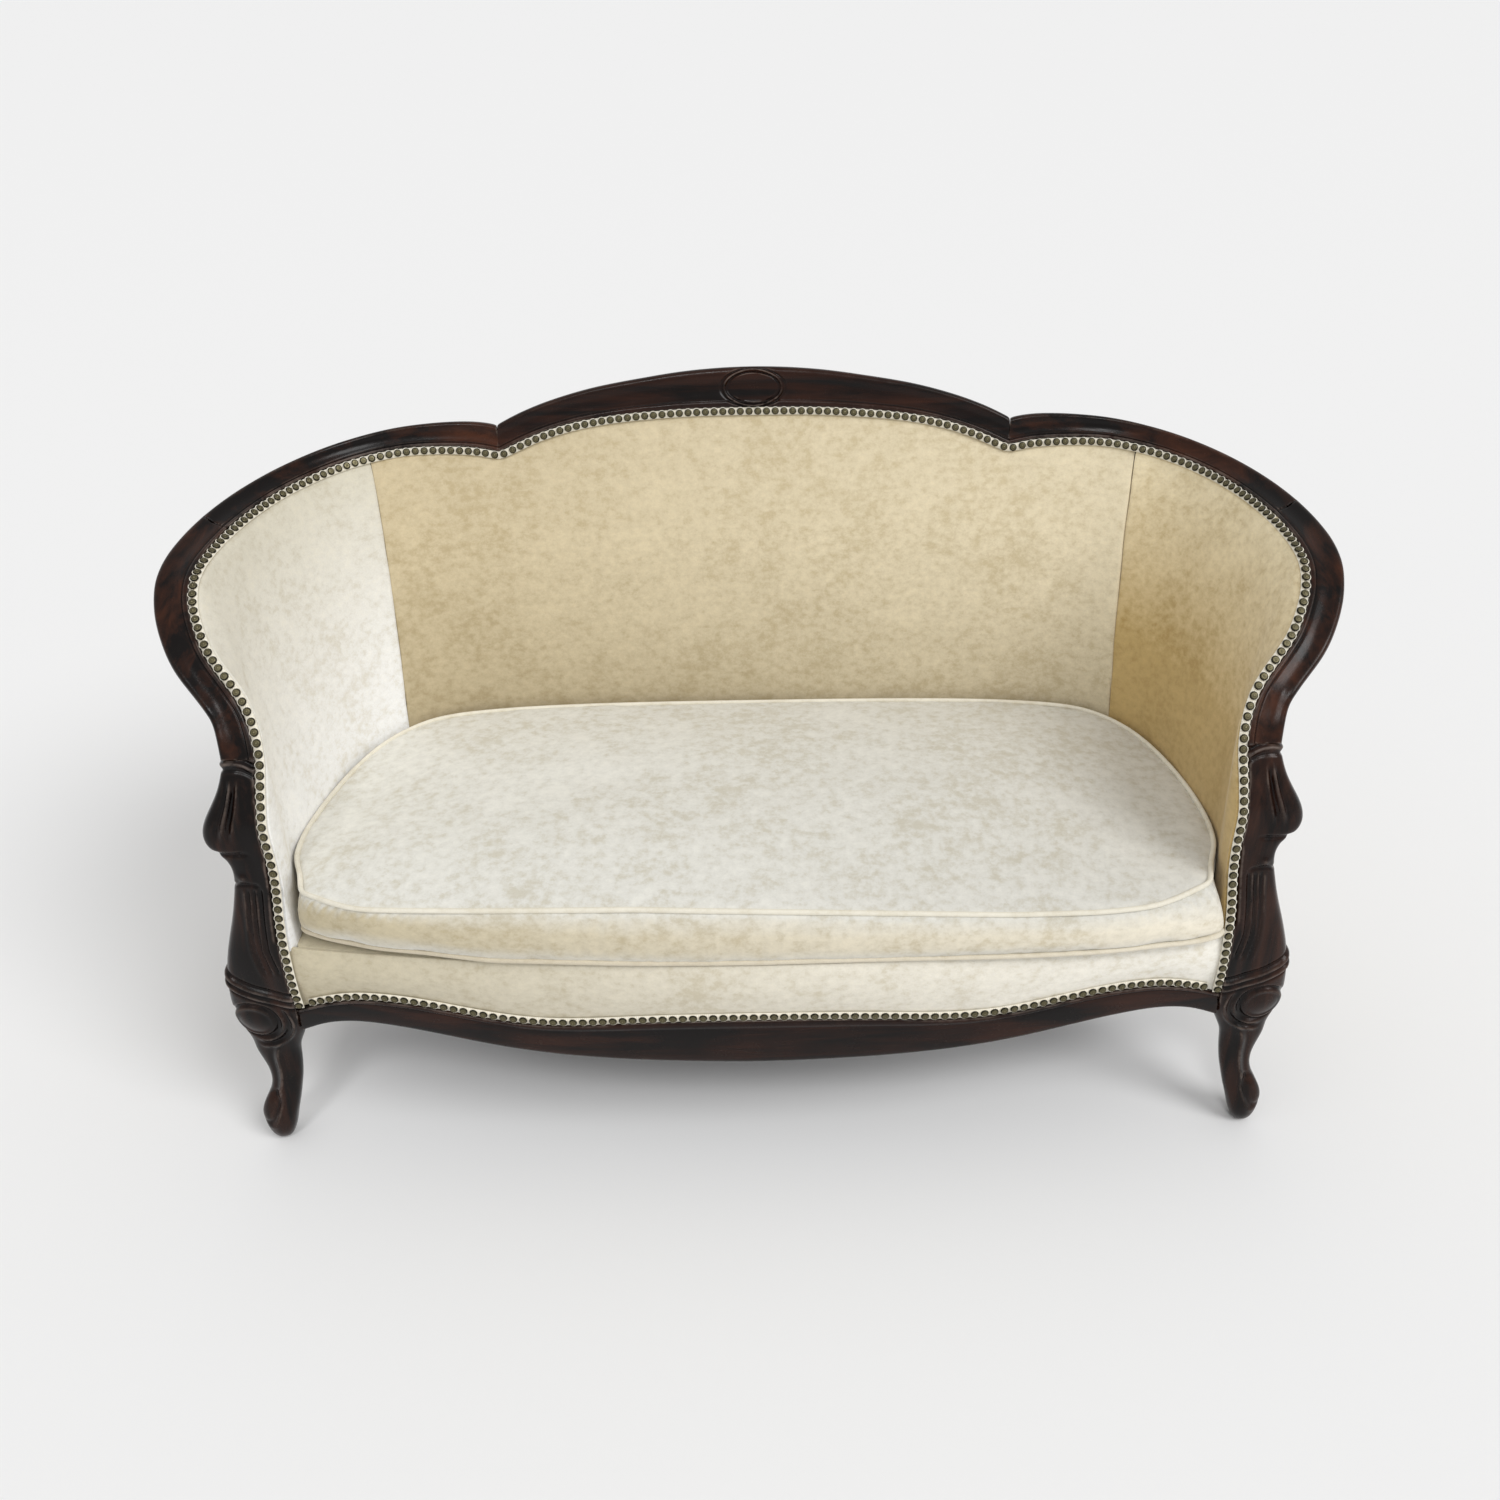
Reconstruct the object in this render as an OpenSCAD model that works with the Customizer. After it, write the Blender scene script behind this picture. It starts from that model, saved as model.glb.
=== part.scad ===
// Cabriole sofa: a show-wood rail runs over the back, down both arms and into carved
// front legs; the back, arms and front are upholstered and close nailed; the seat
// cushion is loose and lifts off. It faces -Y, +X is the viewer's right, +Z is up.

/* [Seat] */
// Width between the arms at the seat, inside the upholstery
seat_w = 1310; // [1180:10:1400]
// Depth of the seat from the front posts to the back
seat_d = 532; // [480:4:600]
// Height of the cushion's top seam above the floor
seat_h = 447; // [425:1:475]
// How far the seat bows forward of the posts
bow = 55; // [40:1:66]

/* [Back and arms] */
// How far each arm flares out beyond the seat
arm_flare = 145; // [110:5:180]
// How far the top of the back lies behind the seat's back edge
rake = 127; // [95:1:160]
// Height of the back's upholstered edge above the seat
back_h = 454; // [400:2:500]

/* [Show wood] */
// Width of the crest rail's face at its middle
crest_w = 62; // [52:1:72]
// Width of the arm rail's face at its widest
arm_w = 46; // [40:1:50]
// Thickness of the show-wood rails, front to back
rail_t = 34; // [33:0.5:40]
// Depth of the rebate that takes the upholstery
rebate_d = 9; // [8:0.1:9.5]
// Width of the rebate that takes the upholstery
rebate_w = 16; // [14:0.5:18]
// Depth of the moulding's hollows
hollow_d = 2.6; // [1:0.1:3.6]

/* [Front legs] */
// Width of the leg at the knee
post_w = 88; // [80:1:94]
// Depth of the leg at the knee
post_t = 62; // [58:1:66]

/* [Front rail] */
// Thickness of the front rail
apron_t = 30; // [26:1:34]
// Height from the nail line at the middle of the front rail up to the seat
apron_drop = 182; // [178:1:188]
// Height of the front rail's face at its middle
apron_h = 81; // [70:1:88]

/* [Seat frame] */
// Height of the side and back seat rails
seat_rail_h = 60; // [50:1:64]
// Thickness of the side and back seat rails
seat_rail_t = 28; // [24:1:29]
// Height from the underside of the seat rails up to the seat
seat_rail_drop = 207; // [203:1:209]
// Width of a back leg at the floor
back_leg_foot = 32; // [26:1:36]
// How far a back leg's foot stands behind its top
back_leg_rake = 84; // [50:2:100]
// Height of the stuffing rails above the seat
stuffing_rail_h = 36; // [28:1:44]
// Width of the back uprights
upright_w = 52; // [40:2:64]
// Diameter of the frame dowels
dowel_dia = 9.5; // [8:0.5:11]
// Length of the frame dowels
dowel_l = 52; // [40:2:60]
// Diameter of the corner-block screws
screw_dia = 5; // [4:0.5:6]
// Length of the corner-block screws
screw_l = 52; // [44:2:60]

/* [Cushion] */
// Height of the seat cushion's boxing
cushion_h = 85; // [70:1:95]
// How far the cushion's top is crowned above its seam
crown_h = 16; // [8:1:26]
// Diameter of the piping
welt_dia = 8; // [6:0.5:10]
// How far the boxing draws in at its seams
boxing_pull = 6; // [2:0.5:8]

/* [Upholstery] */
// How far the inside back's padding stands proud of its edges
pad_crown = 10; // [4:1:16]
// Thickness of the outside cloth with its backing
cloth_t = 3; // [2:0.2:3.4]
// Diameter of a nail's head
nail_dia = 11; // [9:0.5:12]
// Distance from nail to nail
nail_pitch = 13.7; // [12.6:0.1:16]
// Width of the trimmed cloth edge under the nails
hem_w = 12; // [10:0.5:13.5]
// Width of the webbing
web_w = 50; // [40:2:60]
// Diameter of a seat spring at its ends
spring_dia = 84; // [70:2:96]
// Diameter of the spring wire
wire_dia = 4; // [3:0.5:5]

/* [Fit] */
// Clearance between pieces that are laid or seated on each other
seat_gap = 0.3; // [0.2:0.05:0.4]
// Clearance between the cushion and the arms and back
cushion_gap = 1; // [0.6:0.1:2]
// Clearance between the padding's edge and the wood
edge_gap = 0.8; // [0.6:0.1:1.2]

/* [Hidden] */
$fn = 32;

wood = "#3a1f16";
beech = "#b08a5e";
velvet = "#d9c9a4";
cushion_velvet = "#d4cdbd";
cream = "#e9e2cc";
brass = "#8a7440";
jute = "#a08458";
steel = "#8d9095";
black_cloth = "#26262a";

seat_hw = seat_w / 2;
deck_z = seat_h - cushion_h;
apron_top = seat_h - apron_drop;
seat_rail_z = seat_h - seat_rail_drop;

// Shares up to 1 run over the seat; from 1 to 2 they run over the flare, the rake of
// the back and the height of the back
function across(s) = seat_hw * min(s, 1) + arm_flare * max(s - 1, 0);
function deep(s) = seat_d * min(s, 1) + rake * max(s - 1, 0);
function high(s) = seat_h * min(s, 1) + back_h * max(s - 1, 0);

// Upholstered edge of the half crest, from its middle to the notch: across, deep,
// high, face width as a share of the crest's, turn and lean in degrees, foot on the seat
crest_share = [
    [0, 2, 2, 1, 0, 16, 0],
    [0.153, 2, 1.998, 0.93, 1, 16, 0.040],
    [0.262, 1.992, 1.989, 0.83, 2, 16, 0.070],
    [0.369, 1.976, 1.974, 0.75, 3, 16, 0.100],
    [0.467, 1.945, 1.947, 0.68, 4, 16, 0.133],
    [0.540, 1.906, 1.914, 0.65, 5, 16, 0.158],
    [0.591, 1.874, 1.883, 0.63, 7, 17, 0.179],
    [0.618, 1.858, 1.866, 0.62, 8, 17, 0.192]];

// Upholstered edge of the shoulder and arm, from the notch to the elbow: the same, with
// the width as a share of the arm's
arm_share = [
    [0.618, 1.858, 1.866, 0.88, 8, 17, 0.192],
    [0.667, 1.852, 1.882, 0.87, 9, 18, 0.217],
    [0.718, 1.842, 1.889, 0.84, 11, 19, 0.246],
    [0.780, 1.811, 1.894, 0.78, 14, 21, 0.292],
    [0.849, 1.732, 1.896, 0.72, 20, 24, 0.350],
    [0.916, 1.583, 1.890, 0.69, 30, 28, 0.417],
    [0.977, 1.362, 1.882, 0.68, 41, 32, 0.475],
    [1.138, 1.047, 1.874, 0.69, 54, 38, 0.542],
    [1.345, 0.910, 1.868, 0.72, 66, 46, 0.600],
    [1.510, 0.784, 1.861, 0.78, 75, 55, 0.658],
    [1.600, 0.677, 1.853, 0.86, 81, 64, 0.700],
    [1.669, 0.549, 1.840, 0.95, 87, 75, 0.746],
    [1.690, 0.436, 1.815, 1, 90, 84, 0.783],
    [1.648, 0.359, 1.766, 1, 90, 90, 0.808],
    [1.559, 0.303, 1.718, 0.98, 90, 90, 0.829],
    [1.421, 0.244, 1.665, 0.94, 90, 90, 0.850],
    [1.241, 0.199, 1.610, 0.90, 90, 90, 0.871],
    [1.103, 0.165, 1.566, 0.92, 90, 90, 0.888],
    [1.021, 0.137, 1.518, 0.97, 90, 90, 0.902],
    [0.995, 0.113, 1.476, 1, 90, 90, 0.913],
    [0.990, 0.090, 1.425, 1, 90, 90, 0.926]];
seam_row = 5;
joint_row = 10;
elbow_row = len(arm_share) - 1;

// Front leg from the elbow to the floor: inner edge, front face, height, width and
// depth as shares of the knee's, tip of the section in degrees, roundness, foot; the
// rows without a depth have their back flush with the knee's
leg_share = [
    [0.990, 0.090, 1.425, 0.523, 0.60, 27, 0, 0.926],
    [0.991, 0.075, 1.385, 0.56, 0.66, 25, 0, 0.940],
    [0.993, 0.056, 1.337, 0.63, 0.76, 20, 0, 0.952],
    [0.995, 0.038, 1.282, 0.77, 0.82, 12, 0, 0.962],
    [0.996, 0.026, 1.244, 0.86, 0.85, 7, 0, 0.970],
    [0.995, 0.019, 1.207, 0.91, 0.84, 3, 0, 0.976],
    [0.993, 0.015, 1.174, 0.88, 0.79, 0, 0, 0.981],
    [0.991, 0.011, 1.130, 0.64, 0.71, 0, 0, 0.986],
    [0.991, 0.008, 1.077, 0.58, 0.70, 0, 0, 0.991],
    [0.993, 0.004, 1.018, 0.62, 0.76, 0, 0, 0.997],
    [0.997, -0.006, 0.940, 0.69, 0, 0, 0, 1],
    [1.004, -0.011, 0.857, 0.80, 0, 0, 0, 1],
    [1.004, -0.017, 0.779, 0.92, 0, 0, 0, 1],
    [1.004, -0.019, 0.711, 1, 1, 0, 0, 1],
    [1.004, -0.017, 0.649, 1.05, 0, 0, 0, 1],
    [1.004, -0.013, 0.604, 1.075, 0, 0, 0, 1],
    [1.004, -0.008, 0.550, 1.085, 0, 0, 0, 1],
    [1.004, -0.004, 0.500, 1.06, 0, 0, 0.20, 1],
    [1.006, -0.001, 0.462, 1.02, 0, 0, 0.50, 1],
    [1.050, 0, 0.422, 0.88, 0.84, 0, 0.85, 1],
    [1.112, 0, 0.376, 0.74, 0.74, 0, 1, 1],
    [1.131, 0, 0.313, 0.60, 0.65, 0, 1, 1],
    [1.150, -0.003, 0.257, 0.53, 0.58, 0, 1, 1],
    [1.180, -0.008, 0.213, 0.53, 0.60, 0, 1, 1],
    [1.222, -0.017, 0.157, 0.60, 0.68, 0, 1, 1],
    [1.268, -0.025, 0.107, 0.60, 0.74, 0, 1, 1],
    [1.312, -0.026, 0.056, 0.49, 0.72, 0, 1, 1],
    [1.365, -0.015, 0.018, 0.34, 0.58, 0, 1, 1],
    [1.400, 0.002, 0, 0.25, 0.42, 0, 1, 1]];
knee_row = 13;
// The stations of the trimmed edge end here, at the front rail's corner
hem_end_row = 15.5;
// Rows of the leg down to the seat's top, where the padded arm ends
pad_end_row = 9;

// Half plan of the seat, inside the padding, from the middle of the back to the post
plan_share = [
    [0, 1], [0.305, 0.998], [0.534, 0.987], [0.687, 0.966], [0.805, 0.929], [0.870, 0.867],
    [0.921, 0.776], [0.953, 0.664], [0.979, 0.506], [0.994, 0.335], [0.993, 0.190],
    [0.975, 0.090], [0.972, 0.015]];
plan_last = len(plan_share) - 1;
// Front corner and front of the half cushion: across, and forward as a share of the bow
nose_share = [
    [0.982, -1.80], [0.963, -0.95], [0.962, -0.30], [0.956, 0.12], [0.930, 0.42],
    [0.850, 0.68], [0.710, 0.82], [0.504, 0.90], [0.260, 0.93], [0, 0.95]];
// Front rail: across, height of the nail line as a share of its height at the middle,
// and how far the bottom edge rises, as a share of the greatest rise
apron_share = [
    [0, 1, 0], [0.130, 0.996, 0.03], [0.260, 0.981, 0.08], [0.380, 0.958, 0.17],
    [0.470, 0.955, 0.28], [0.560, 0.977, 0.44], [0.640, 1.012, 0.63], [0.720, 1.045, 0.82],
    [0.800, 1.060, 0.96], [0.870, 1.052, 1], [0.940, 1.006, 0.85], [1, 0.950, 0.49]];

// Moulding of the rail: across as a share of the face, and depth as a share of the hollow
moulding_share = [
    [0, -0.3], [0.05, 0.15], [0.12, 0.1], [0.17, -0.85], [0.23, -0.35], [0.40, -1],
    [0.60, -1], [0.76, -0.1], [0.87, 0.1]];
// Outer edge and back of the rail: across, and depth as a share of the thickness
edge_share = [[0.955, 0.06], [1, 0.22], [1, 0.58], [0.93, 1]];
// Section of the front leg above the seat: across, and depth as a share of the leg's
stump_share = [
    [0, 0.02], [0.09, -0.01], [0.28, 0.02], [0.50, -0.03], [0.72, 0], [0.87, 0.05],
    [0.96, 0.17], [1, 0.40], [0.98, 0.70], [0.92, 0.92], [0.78, 0.985], [0.42, 1]];
back_share = 0.985;
// Section of the leg below the knee
shank_share = [
    [0.01, 0.36], [0.05, 0.20], [0.15, 0.08], [0.32, 0.02], [0.50, -0.02], [0.68, 0.02],
    [0.85, 0.09], [0.96, 0.24], [1, 0.47], [0.96, 0.75], [0.84, 0.94], [0.55, 1],
    [0.30, 0.98], [0.12, 0.86], [0.03, 0.62]];

function unit(v) = v / norm(v);
function mix(a, b, t) = a + (b - a) * t;
function spot(r) = [r[0], r[1], r[2]];
function flip(v) = [-v[0], v[1], v[2]];

// Smooth curve through rows of values, spaced by the distance between their points
function bend(p0, p1, p2, p3, t) = let (
    d0 = norm(spot(p1) - spot(p0)),
    d1 = norm(spot(p2) - spot(p1)),
    d2 = norm(spot(p3) - spot(p2)),
    m1 = (p1 - p0) * (d1 / d0) - (p2 - p0) * (d1 / (d0 + d1)) + p2 - p1,
    m2 = p2 - p1 - (p3 - p1) * (d1 / (d1 + d2)) + (p3 - p2) * (d1 / d2))
    p1 * (2 * t ^ 3 - 3 * t ^ 2 + 1) + m1 * (t ^ 3 - 2 * t ^ 2 + t)
    + p2 * (3 * t ^ 2 - 2 * t ^ 3) + m2 * (t ^ 3 - t ^ 2);

function at(rows, s) = let (
    last = len(rows) - 1,
    i = max(0, min(floor(s), last - 1)),
    p1 = rows[i],
    p2 = rows[i + 1],
    p0 = i > 0 ? rows[i - 1] : p1 * 2 - p2,
    p3 = i + 2 <= last ? rows[i + 2] : p2 * 2 - p1)
    bend(p0, p1, p2, p3, s - i);

function sized(rows, face) = [for (r = rows)
    [across(r[0]), deep(r[1]), high(r[2]), r[3] * face, r[4], r[5], r[6]]];
function mirrored(r) = [-r[0], r[1], r[2], r[3], -r[4], r[5], r[6]];
function backwards(v) = [for (i = [len(v) - 1:-1:0]) v[i]];

crest_half = sized(crest_share, crest_w);
crest_last = len(crest_half) - 1;
crest_rows = concat([for (i = [crest_last:-1:1]) mirrored(crest_half[i])], crest_half);
arm_rows = sized(arm_share, arm_w);
leg_back = deep(leg_share[knee_row][1]) + post_t;
leg_rows = [for (r = leg_share) [across(r[0]), deep(r[1]), high(r[2]), r[3] * post_w,
    r[4] > 0 ? r[4] * post_t : leg_back - deep(r[1]), r[5], r[6], r[7]]];

// A station on the wood: its point on the upholstered edge, the direction across the
// face, the direction out of the face, the face's width, and its foot on the seat
tick = 0.02;
function guide(turn, lean) = [sin(lean) * sin(turn), sin(lean) * cos(turn), cos(lean)];
function level(turn) = [cos(turn), -sin(turn), 0];
function station(r, dir) = let (
    g = guide(r[4], r[5]),
    over = unit(g - dir * (g * dir)))
    [spot(r), over, cross(dir, over), r[3], r[6]];
function tipped(tip) = [0, -sin(tip), -cos(tip)];

function crest_at(s) = let (
    r = at(crest_rows, s),
    along = unit(spot(at(crest_rows, s + tick)) - spot(at(crest_rows, s - tick))))
    station(r, unit(mix(level(r[4]), along, max(0, min(1, s, 2 * crest_last - s)))));
function arm_at(s) = let (
    r = at(arm_rows, s))
    station(r, s <= 0 ? level(r[4])
        : s >= elbow_row ? tipped(leg_share[0][5])
        : unit(spot(at(arm_rows, s + tick)) - spot(at(arm_rows, s - tick))));
function leg_at(s) = let (
    r = at(leg_rows, s),
    dir = tipped(r[5]))
    [spot(r), [1, 0, 0], cross(dir, [1, 0, 0]), r[3], r[7], r[4], r[6]];

// Point of a station: a across the face from the upholstered edge, b out of the face
function off(f, a, b) = f[0] + f[1] * a + f[2] * b;

steps = 2;
half_stations = concat(
    [for (i = [0:crest_last * steps - 1]) crest_at(crest_last + i / steps)],
    [for (i = [0:elbow_row * steps - 1]) arm_at(i / steps)],
    [for (i = [0:hem_end_row * steps]) leg_at(i / steps)]);
seam_station = crest_last + seam_row;
pad_last = crest_last + elbow_row + pad_end_row;
sheet_last = crest_last + elbow_row - 3;
function pad_station(k) = half_stations[k * steps];

// Closed skin over rings of points that run clockwise as the rings come nearer. A folded
// ring's ends are closed by pairs of its points, from its first and last inwards, and its
// two walls are split along the same diagonals, mirrored before the middle ring; face_last
// is for rings whose second half is the wall that shows
module skin(rings, looped = false, folded = false, middle = 0, face_last = false) {
    m = len(rings);
    k = len(rings[0]);
    far = (m - 1) * k;
    pairs = [for (j = [0:k / 2 - 2]) each [
        [j, k - 1 - j, k - 2 - j], [j, k - 2 - j, j + 1],
        [far + j, far + k - 2 - j, far + k - 1 - j], [far + j, far + j + 1, far + k - 2 - j]]];
    side = [for (i = [0:m - (looped ? 1 : 2)], j = [0:k - 1]) let (
        a = i * k + j,
        b = i * k + (j + 1) % k,
        c = ((i + 1) % m) * k + (j + 1) % k,
        d = ((i + 1) % m) * k + j)
        each folded && ((j < k / 2) != (i < middle)) != face_last
            ? [[a, b, d], [b, c, d]] : [[a, b, c], [a, c, d]]];
    ends = looped ? [] : folded ? pairs : [[for (j = [k - 1:-1:0]) j], [for (j = [0:k - 1]) far + j]];
    polyhedron(points = [for (r = rings) each r], faces = concat(side, ends), convexity = 8);
}

module both() {
    children();
    mirror([1, 0, 0]) children();
}

module stand() translate([0, -mid_y, 0]) children();

// The rail's lip behind the upholstery runs out towards the elbow
lip_slope_share = 0.3;
function lip(k) = let (s = (k - lip_rows[0]) / (lip_rows[1] - lip_rows[0]))
    rebate_w * (1 - max(0, min(1, s)));
function rail_ring(f, lip = rebate_w) = concat(
    [off(f, -lip, -rebate_d - (rebate_w - lip) * lip_slope_share), off(f, 0, -rebate_d)],
    [for (p = moulding_share) off(f, p[0] * f[3], p[1] * hollow_d)],
    [for (p = edge_share) off(f, p[0] * f[3], -p[1] * rail_t)],
    [off(f, -lip, -rail_t)]);

module crest_rail() color(wood) stand()
    skin([for (i = [0:2 * crest_last * steps]) rail_ring(crest_at(i / steps))]);

module shoulder() color(wood)
    skin([for (i = [0:joint_row * steps]) rail_ring(arm_at(i / steps))]);
module left_shoulder_rail() stand() mirror([1, 0, 0]) shoulder();
module right_shoulder_rail() stand() shoulder();

module arm() color(wood)
    skin([for (i = [joint_row * steps:elbow_row * steps])
        rail_ring(arm_at(i / steps), lip(crest_last + i / steps))]);
module left_arm_rail() stand() mirror([1, 0, 0]) arm();
module right_arm_rail() stand() arm();

// The leg's section turns round below the knee
function leg_ring(f) = let (
    w = f[3],
    d = f[5],
    stump = concat([[0, -rebate_d - rebate_w * lip_slope_share], [0, -rebate_d]],
        [for (p = stump_share) [p[0] * w, -p[1] * d]],
        [[0, -d * back_share]]),
    shank = [for (p = shank_share) [p[0] * w, -p[1] * d]])
    [for (i = [0:len(stump) - 1]) let (p = mix(stump[i], shank[i], max(0, f[6]))) off(f, p[0], p[1])];

// Where the seat rails meet the front leg, and the dowels that pin them
leg_inner = across(leg_share[knee_row][0]);
// The sofa stands with the middle of its box over the origin
mid_y = (seat_d + rake + rail_t + crest_w * sin(crest_share[0][5]) - bow) / 2;
rail_off = 6 * seat_gap;
rail_out = rail_off + seat_rail_t;
rail_mid = rail_off + seat_rail_t / 2;
rail_top = seat_rail_z + seat_rail_h;
play = 0.2;
dowel_z_share = [1.6, 4.7];
apron_dowel_share = [3.9, 1.9];
side_dowel_share = 1.3;
dowel_shift_share = 0.15;
dowel_z = [for (s = dowel_z_share) seat_rail_z + s * dowel_dia];
apron_dowel_z = [for (s = apron_dowel_share) apron_top - s * dowel_dia];

// Small pieces of the frame and the seat
batten_t = 20;
batten_h = 22;
batten_screw_l = 50;
block_w = 78;
block_l = 70;
block_t = [0.80, 0.895];
block_reach_share = 0.05;
block_end_share = 0.3;
deck_t = 0.85;
post_from = 0.78;
post_full = 0.92;
post_out = 16;
block_h = 44;
canvas_t = 1.4;
band_crown = 3;
band_round = 5;
band_share = [0.35, 0.6, 0.85];
pad_t = 1.8;
roll_w = 18;
web_t = 1;
spring_turns = 3;
spring_rings = 6;
spring_waist_share = 0.3;
upright_k = 3;
middle_rows = 5;
stile_reach = 0.45;
foot_turn = 20;
toe_row = 11.5;
lip_rows = [crest_last + 13, crest_last + 17];
cushion_plan_rows = 9;
apron_rise_share = 0.20;
corner_share = arm_share[seam_row][6];
leg_side_t = corner_share + 0.036;
leg_rear_t = corner_share - 0.036;
stuffing_end_share = 0.95;
seam_share = 0.02;
sheet_arm_share = 0.5;
crown_share = [1, 0.87, 0.65, 0.3];
nail_share = [[0, 0], [0.5, 0], [0.47, 0.12], [0.33, 0.24], [0, 0.3]];
apron_face_share = [
    [0, -0.04], [0.05, 0.02], [0.12, 0.01], [0.16, -0.05], [0.22, -0.01], [0.60, 0],
    [0.90, -0.02], [0.97, -0.10], [1, -0.26], [0.99, -0.85], [0.94, -1]];
pad_back = rebate_d - seat_gap;
edge_face = 5.8;
hem_b = 2.6;
nail_in = edge_gap + hem_w / 2;
frame_in = pad_back + web_t + 7 * seat_gap;
frame_out = rail_off + seat_rail_t - seat_gap;
stuffing_lift = 12;
stuffing_z = deck_z + stuffing_lift;
web_z = seat_rail_z - web_t - seat_gap;
spring_rise = 26;
canvas_z = rail_top + spring_rise;

module apron_dowel_row(d, l) for (z = apron_dowel_z)
    translate([leg_inner, apron_t / 2, z]) rotate([0, 90, 0])
        cylinder(d = d, h = l, center = true);
module side_dowel_row(d, l) for (z = dowel_z)
    translate([leg_inner + side_dowel_share * dowel_dia, leg_back, z]) rotate([90, 0, 0])
        cylinder(d = d, h = l, center = true);

module front_leg() color(wood) difference() {
    skin([for (i = [0:(len(leg_rows) - 1) * steps]) leg_ring(leg_at(i / steps))]);
    apron_dowel_row(dowel_dia + play, dowel_l + play);
    side_dowel_row(dowel_dia + play, dowel_l + play);
}
module left_front_leg() stand() mirror([1, 0, 0]) front_leg();
module right_front_leg() stand() front_leg();

// The bow of the seat's front, and the front rail's stations from right to left
function bow_y(x) = -bow * (1 - (x / leg_inner) ^ 2);
apron_rows = [for (r = apron_share)
    [r[0] * (leg_inner - seat_gap), apron_top * r[1], apron_top * (1 + r[2] * apron_rise_share) - apron_h]];
apron_last = len(apron_rows) - 1;
apron_path = concat([flip(apron_rows[1])], apron_rows);
function apron_station(s) = let (
    r = at(apron_path, 1 + abs(s)),
    x = s < 0 ? -r[0] : r[0],
    slope = 2 * bow * x / leg_inner ^ 2,
    dir = abs(s) >= apron_last ? [-1, 0, 0] : unit([-1, -slope, 0]))
    [[x, bow_y(x), r[1]], [0, 0, -1], cross(dir, [0, 0, -1]), r[1] - r[2]];
apron_stations = [for (i = [apron_last * steps:-1:-apron_last * steps]) apron_station(i / steps)];
function apron_ring(f) = concat(
    [off(f, -rebate_w, -rebate_d), off(f, 0, -rebate_d)],
    [for (p = apron_face_share) off(f, p[0] * f[3], p[1] * apron_t)],
    [off(f, -rebate_w, -apron_t)]);
module front_rail() color(wood) stand() difference() {
    skin([for (f = apron_stations) apron_ring(f)]);
    both() apron_dowel_row(dowel_dia + play, dowel_l + play);
}

// Plan of the seat: t runs from 0 at the middle of the back to 1 at the post, and out
// is how far the point lies outside the padding
plan_path = concat([[-plan_share[1][0] * seat_hw, plan_share[1][1] * seat_d, 0]],
    [for (p = plan_share) [p[0] * seat_hw, p[1] * seat_d, 0]]);
function plan_dir(t) = let (
    d = at(plan_path, 1 + t * plan_last + tick) - at(plan_path, 1 + t * plan_last - tick))
    unit([d[0], d[1]]);
function plan(t, out = 0) = let (
    p = at(plan_path, 1 + t * plan_last),
    d = plan_dir(t))
    [p[0] - d[1] * out, p[1] + d[0] * out];
// The frame follows straight runs between the padding's stations, and stands further
// out towards the posts
foots = concat([for (k = [0:pad_last]) pad_station(k)[4]], [1]);
function post_shift(t) = let (u = max(0, min(1, (t - post_from) / (post_full - post_from))))
    post_out * u * u * (3 - 2 * u);
function rim_at(t, out) = plan(t, out + post_shift(t));
function rim(t, out) = let (
    i = min(max([for (j = [0:len(foots) - 1]) if (foots[j] <= t) j]), len(foots) - 2))
    mix(rim_at(foots[i], out), rim_at(foots[i + 1], out), (t - foots[i]) / (foots[i + 1] - foots[i]));
function spans(t0, t1) = concat([t0], [for (t = foots) if (t > t0 && t < t1) t], [t1]);
function line(t0, t1, out) = [for (t = spans(t0, t1)) rim(t, out)];
function other(points) = [for (p = backwards(points)) [-p[0], p[1]]];
function strip(t0, t1, in, out) = concat(line(t0, t1, out), backwards(line(t0, t1, in)));
function whole(t1, out) = concat(other(line(tick, t1, out)), line(0, t1, out));
function half_ring(t1, in, out) = concat(whole(t1, out), backwards(whole(t1, in)));

// The back leg's dowels go deeper into the rails than into the leg, so that they don't
// meet in its corner
module rails_dowel(t, d, l) for (z = dowel_z) let (
    a = plan_dir(t),
    p = rim(t, rail_mid) + a * (dowel_l * dowel_shift_share * (t > corner_share ? 1 : -1)))
    translate([p[0], p[1], z]) rotate([0, 90, atan2(a[1], a[0])])
        cylinder(d = d, h = l, center = true);

// The side rail ends square against the back of the front leg
module side_rail() color(beech) difference() {
    translate([0, 0, seat_rail_z]) linear_extrude(seat_rail_h) intersection() {
        polygon(strip(leg_side_t, 1, rail_off, rail_out));
        translate([0, leg_back]) square([seat_w, seat_d]);
    }
    side_dowel_row(dowel_dia + play, dowel_l + play);
    rails_dowel(leg_side_t, dowel_dia + play, dowel_l + play);
    side_screws(screw_dia + play, screw_l + play);
}
module left_side_rail() stand() mirror([1, 0, 0]) side_rail();
module right_side_rail() stand() side_rail();

module back_seat_rail() color(beech) stand() difference() {
    translate([0, 0, seat_rail_z]) linear_extrude(seat_rail_h)
        polygon(half_ring(leg_rear_t, rail_off, rail_out));
    both() rails_dowel(leg_rear_t, dowel_dia + play, dowel_l + play);
}

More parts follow.
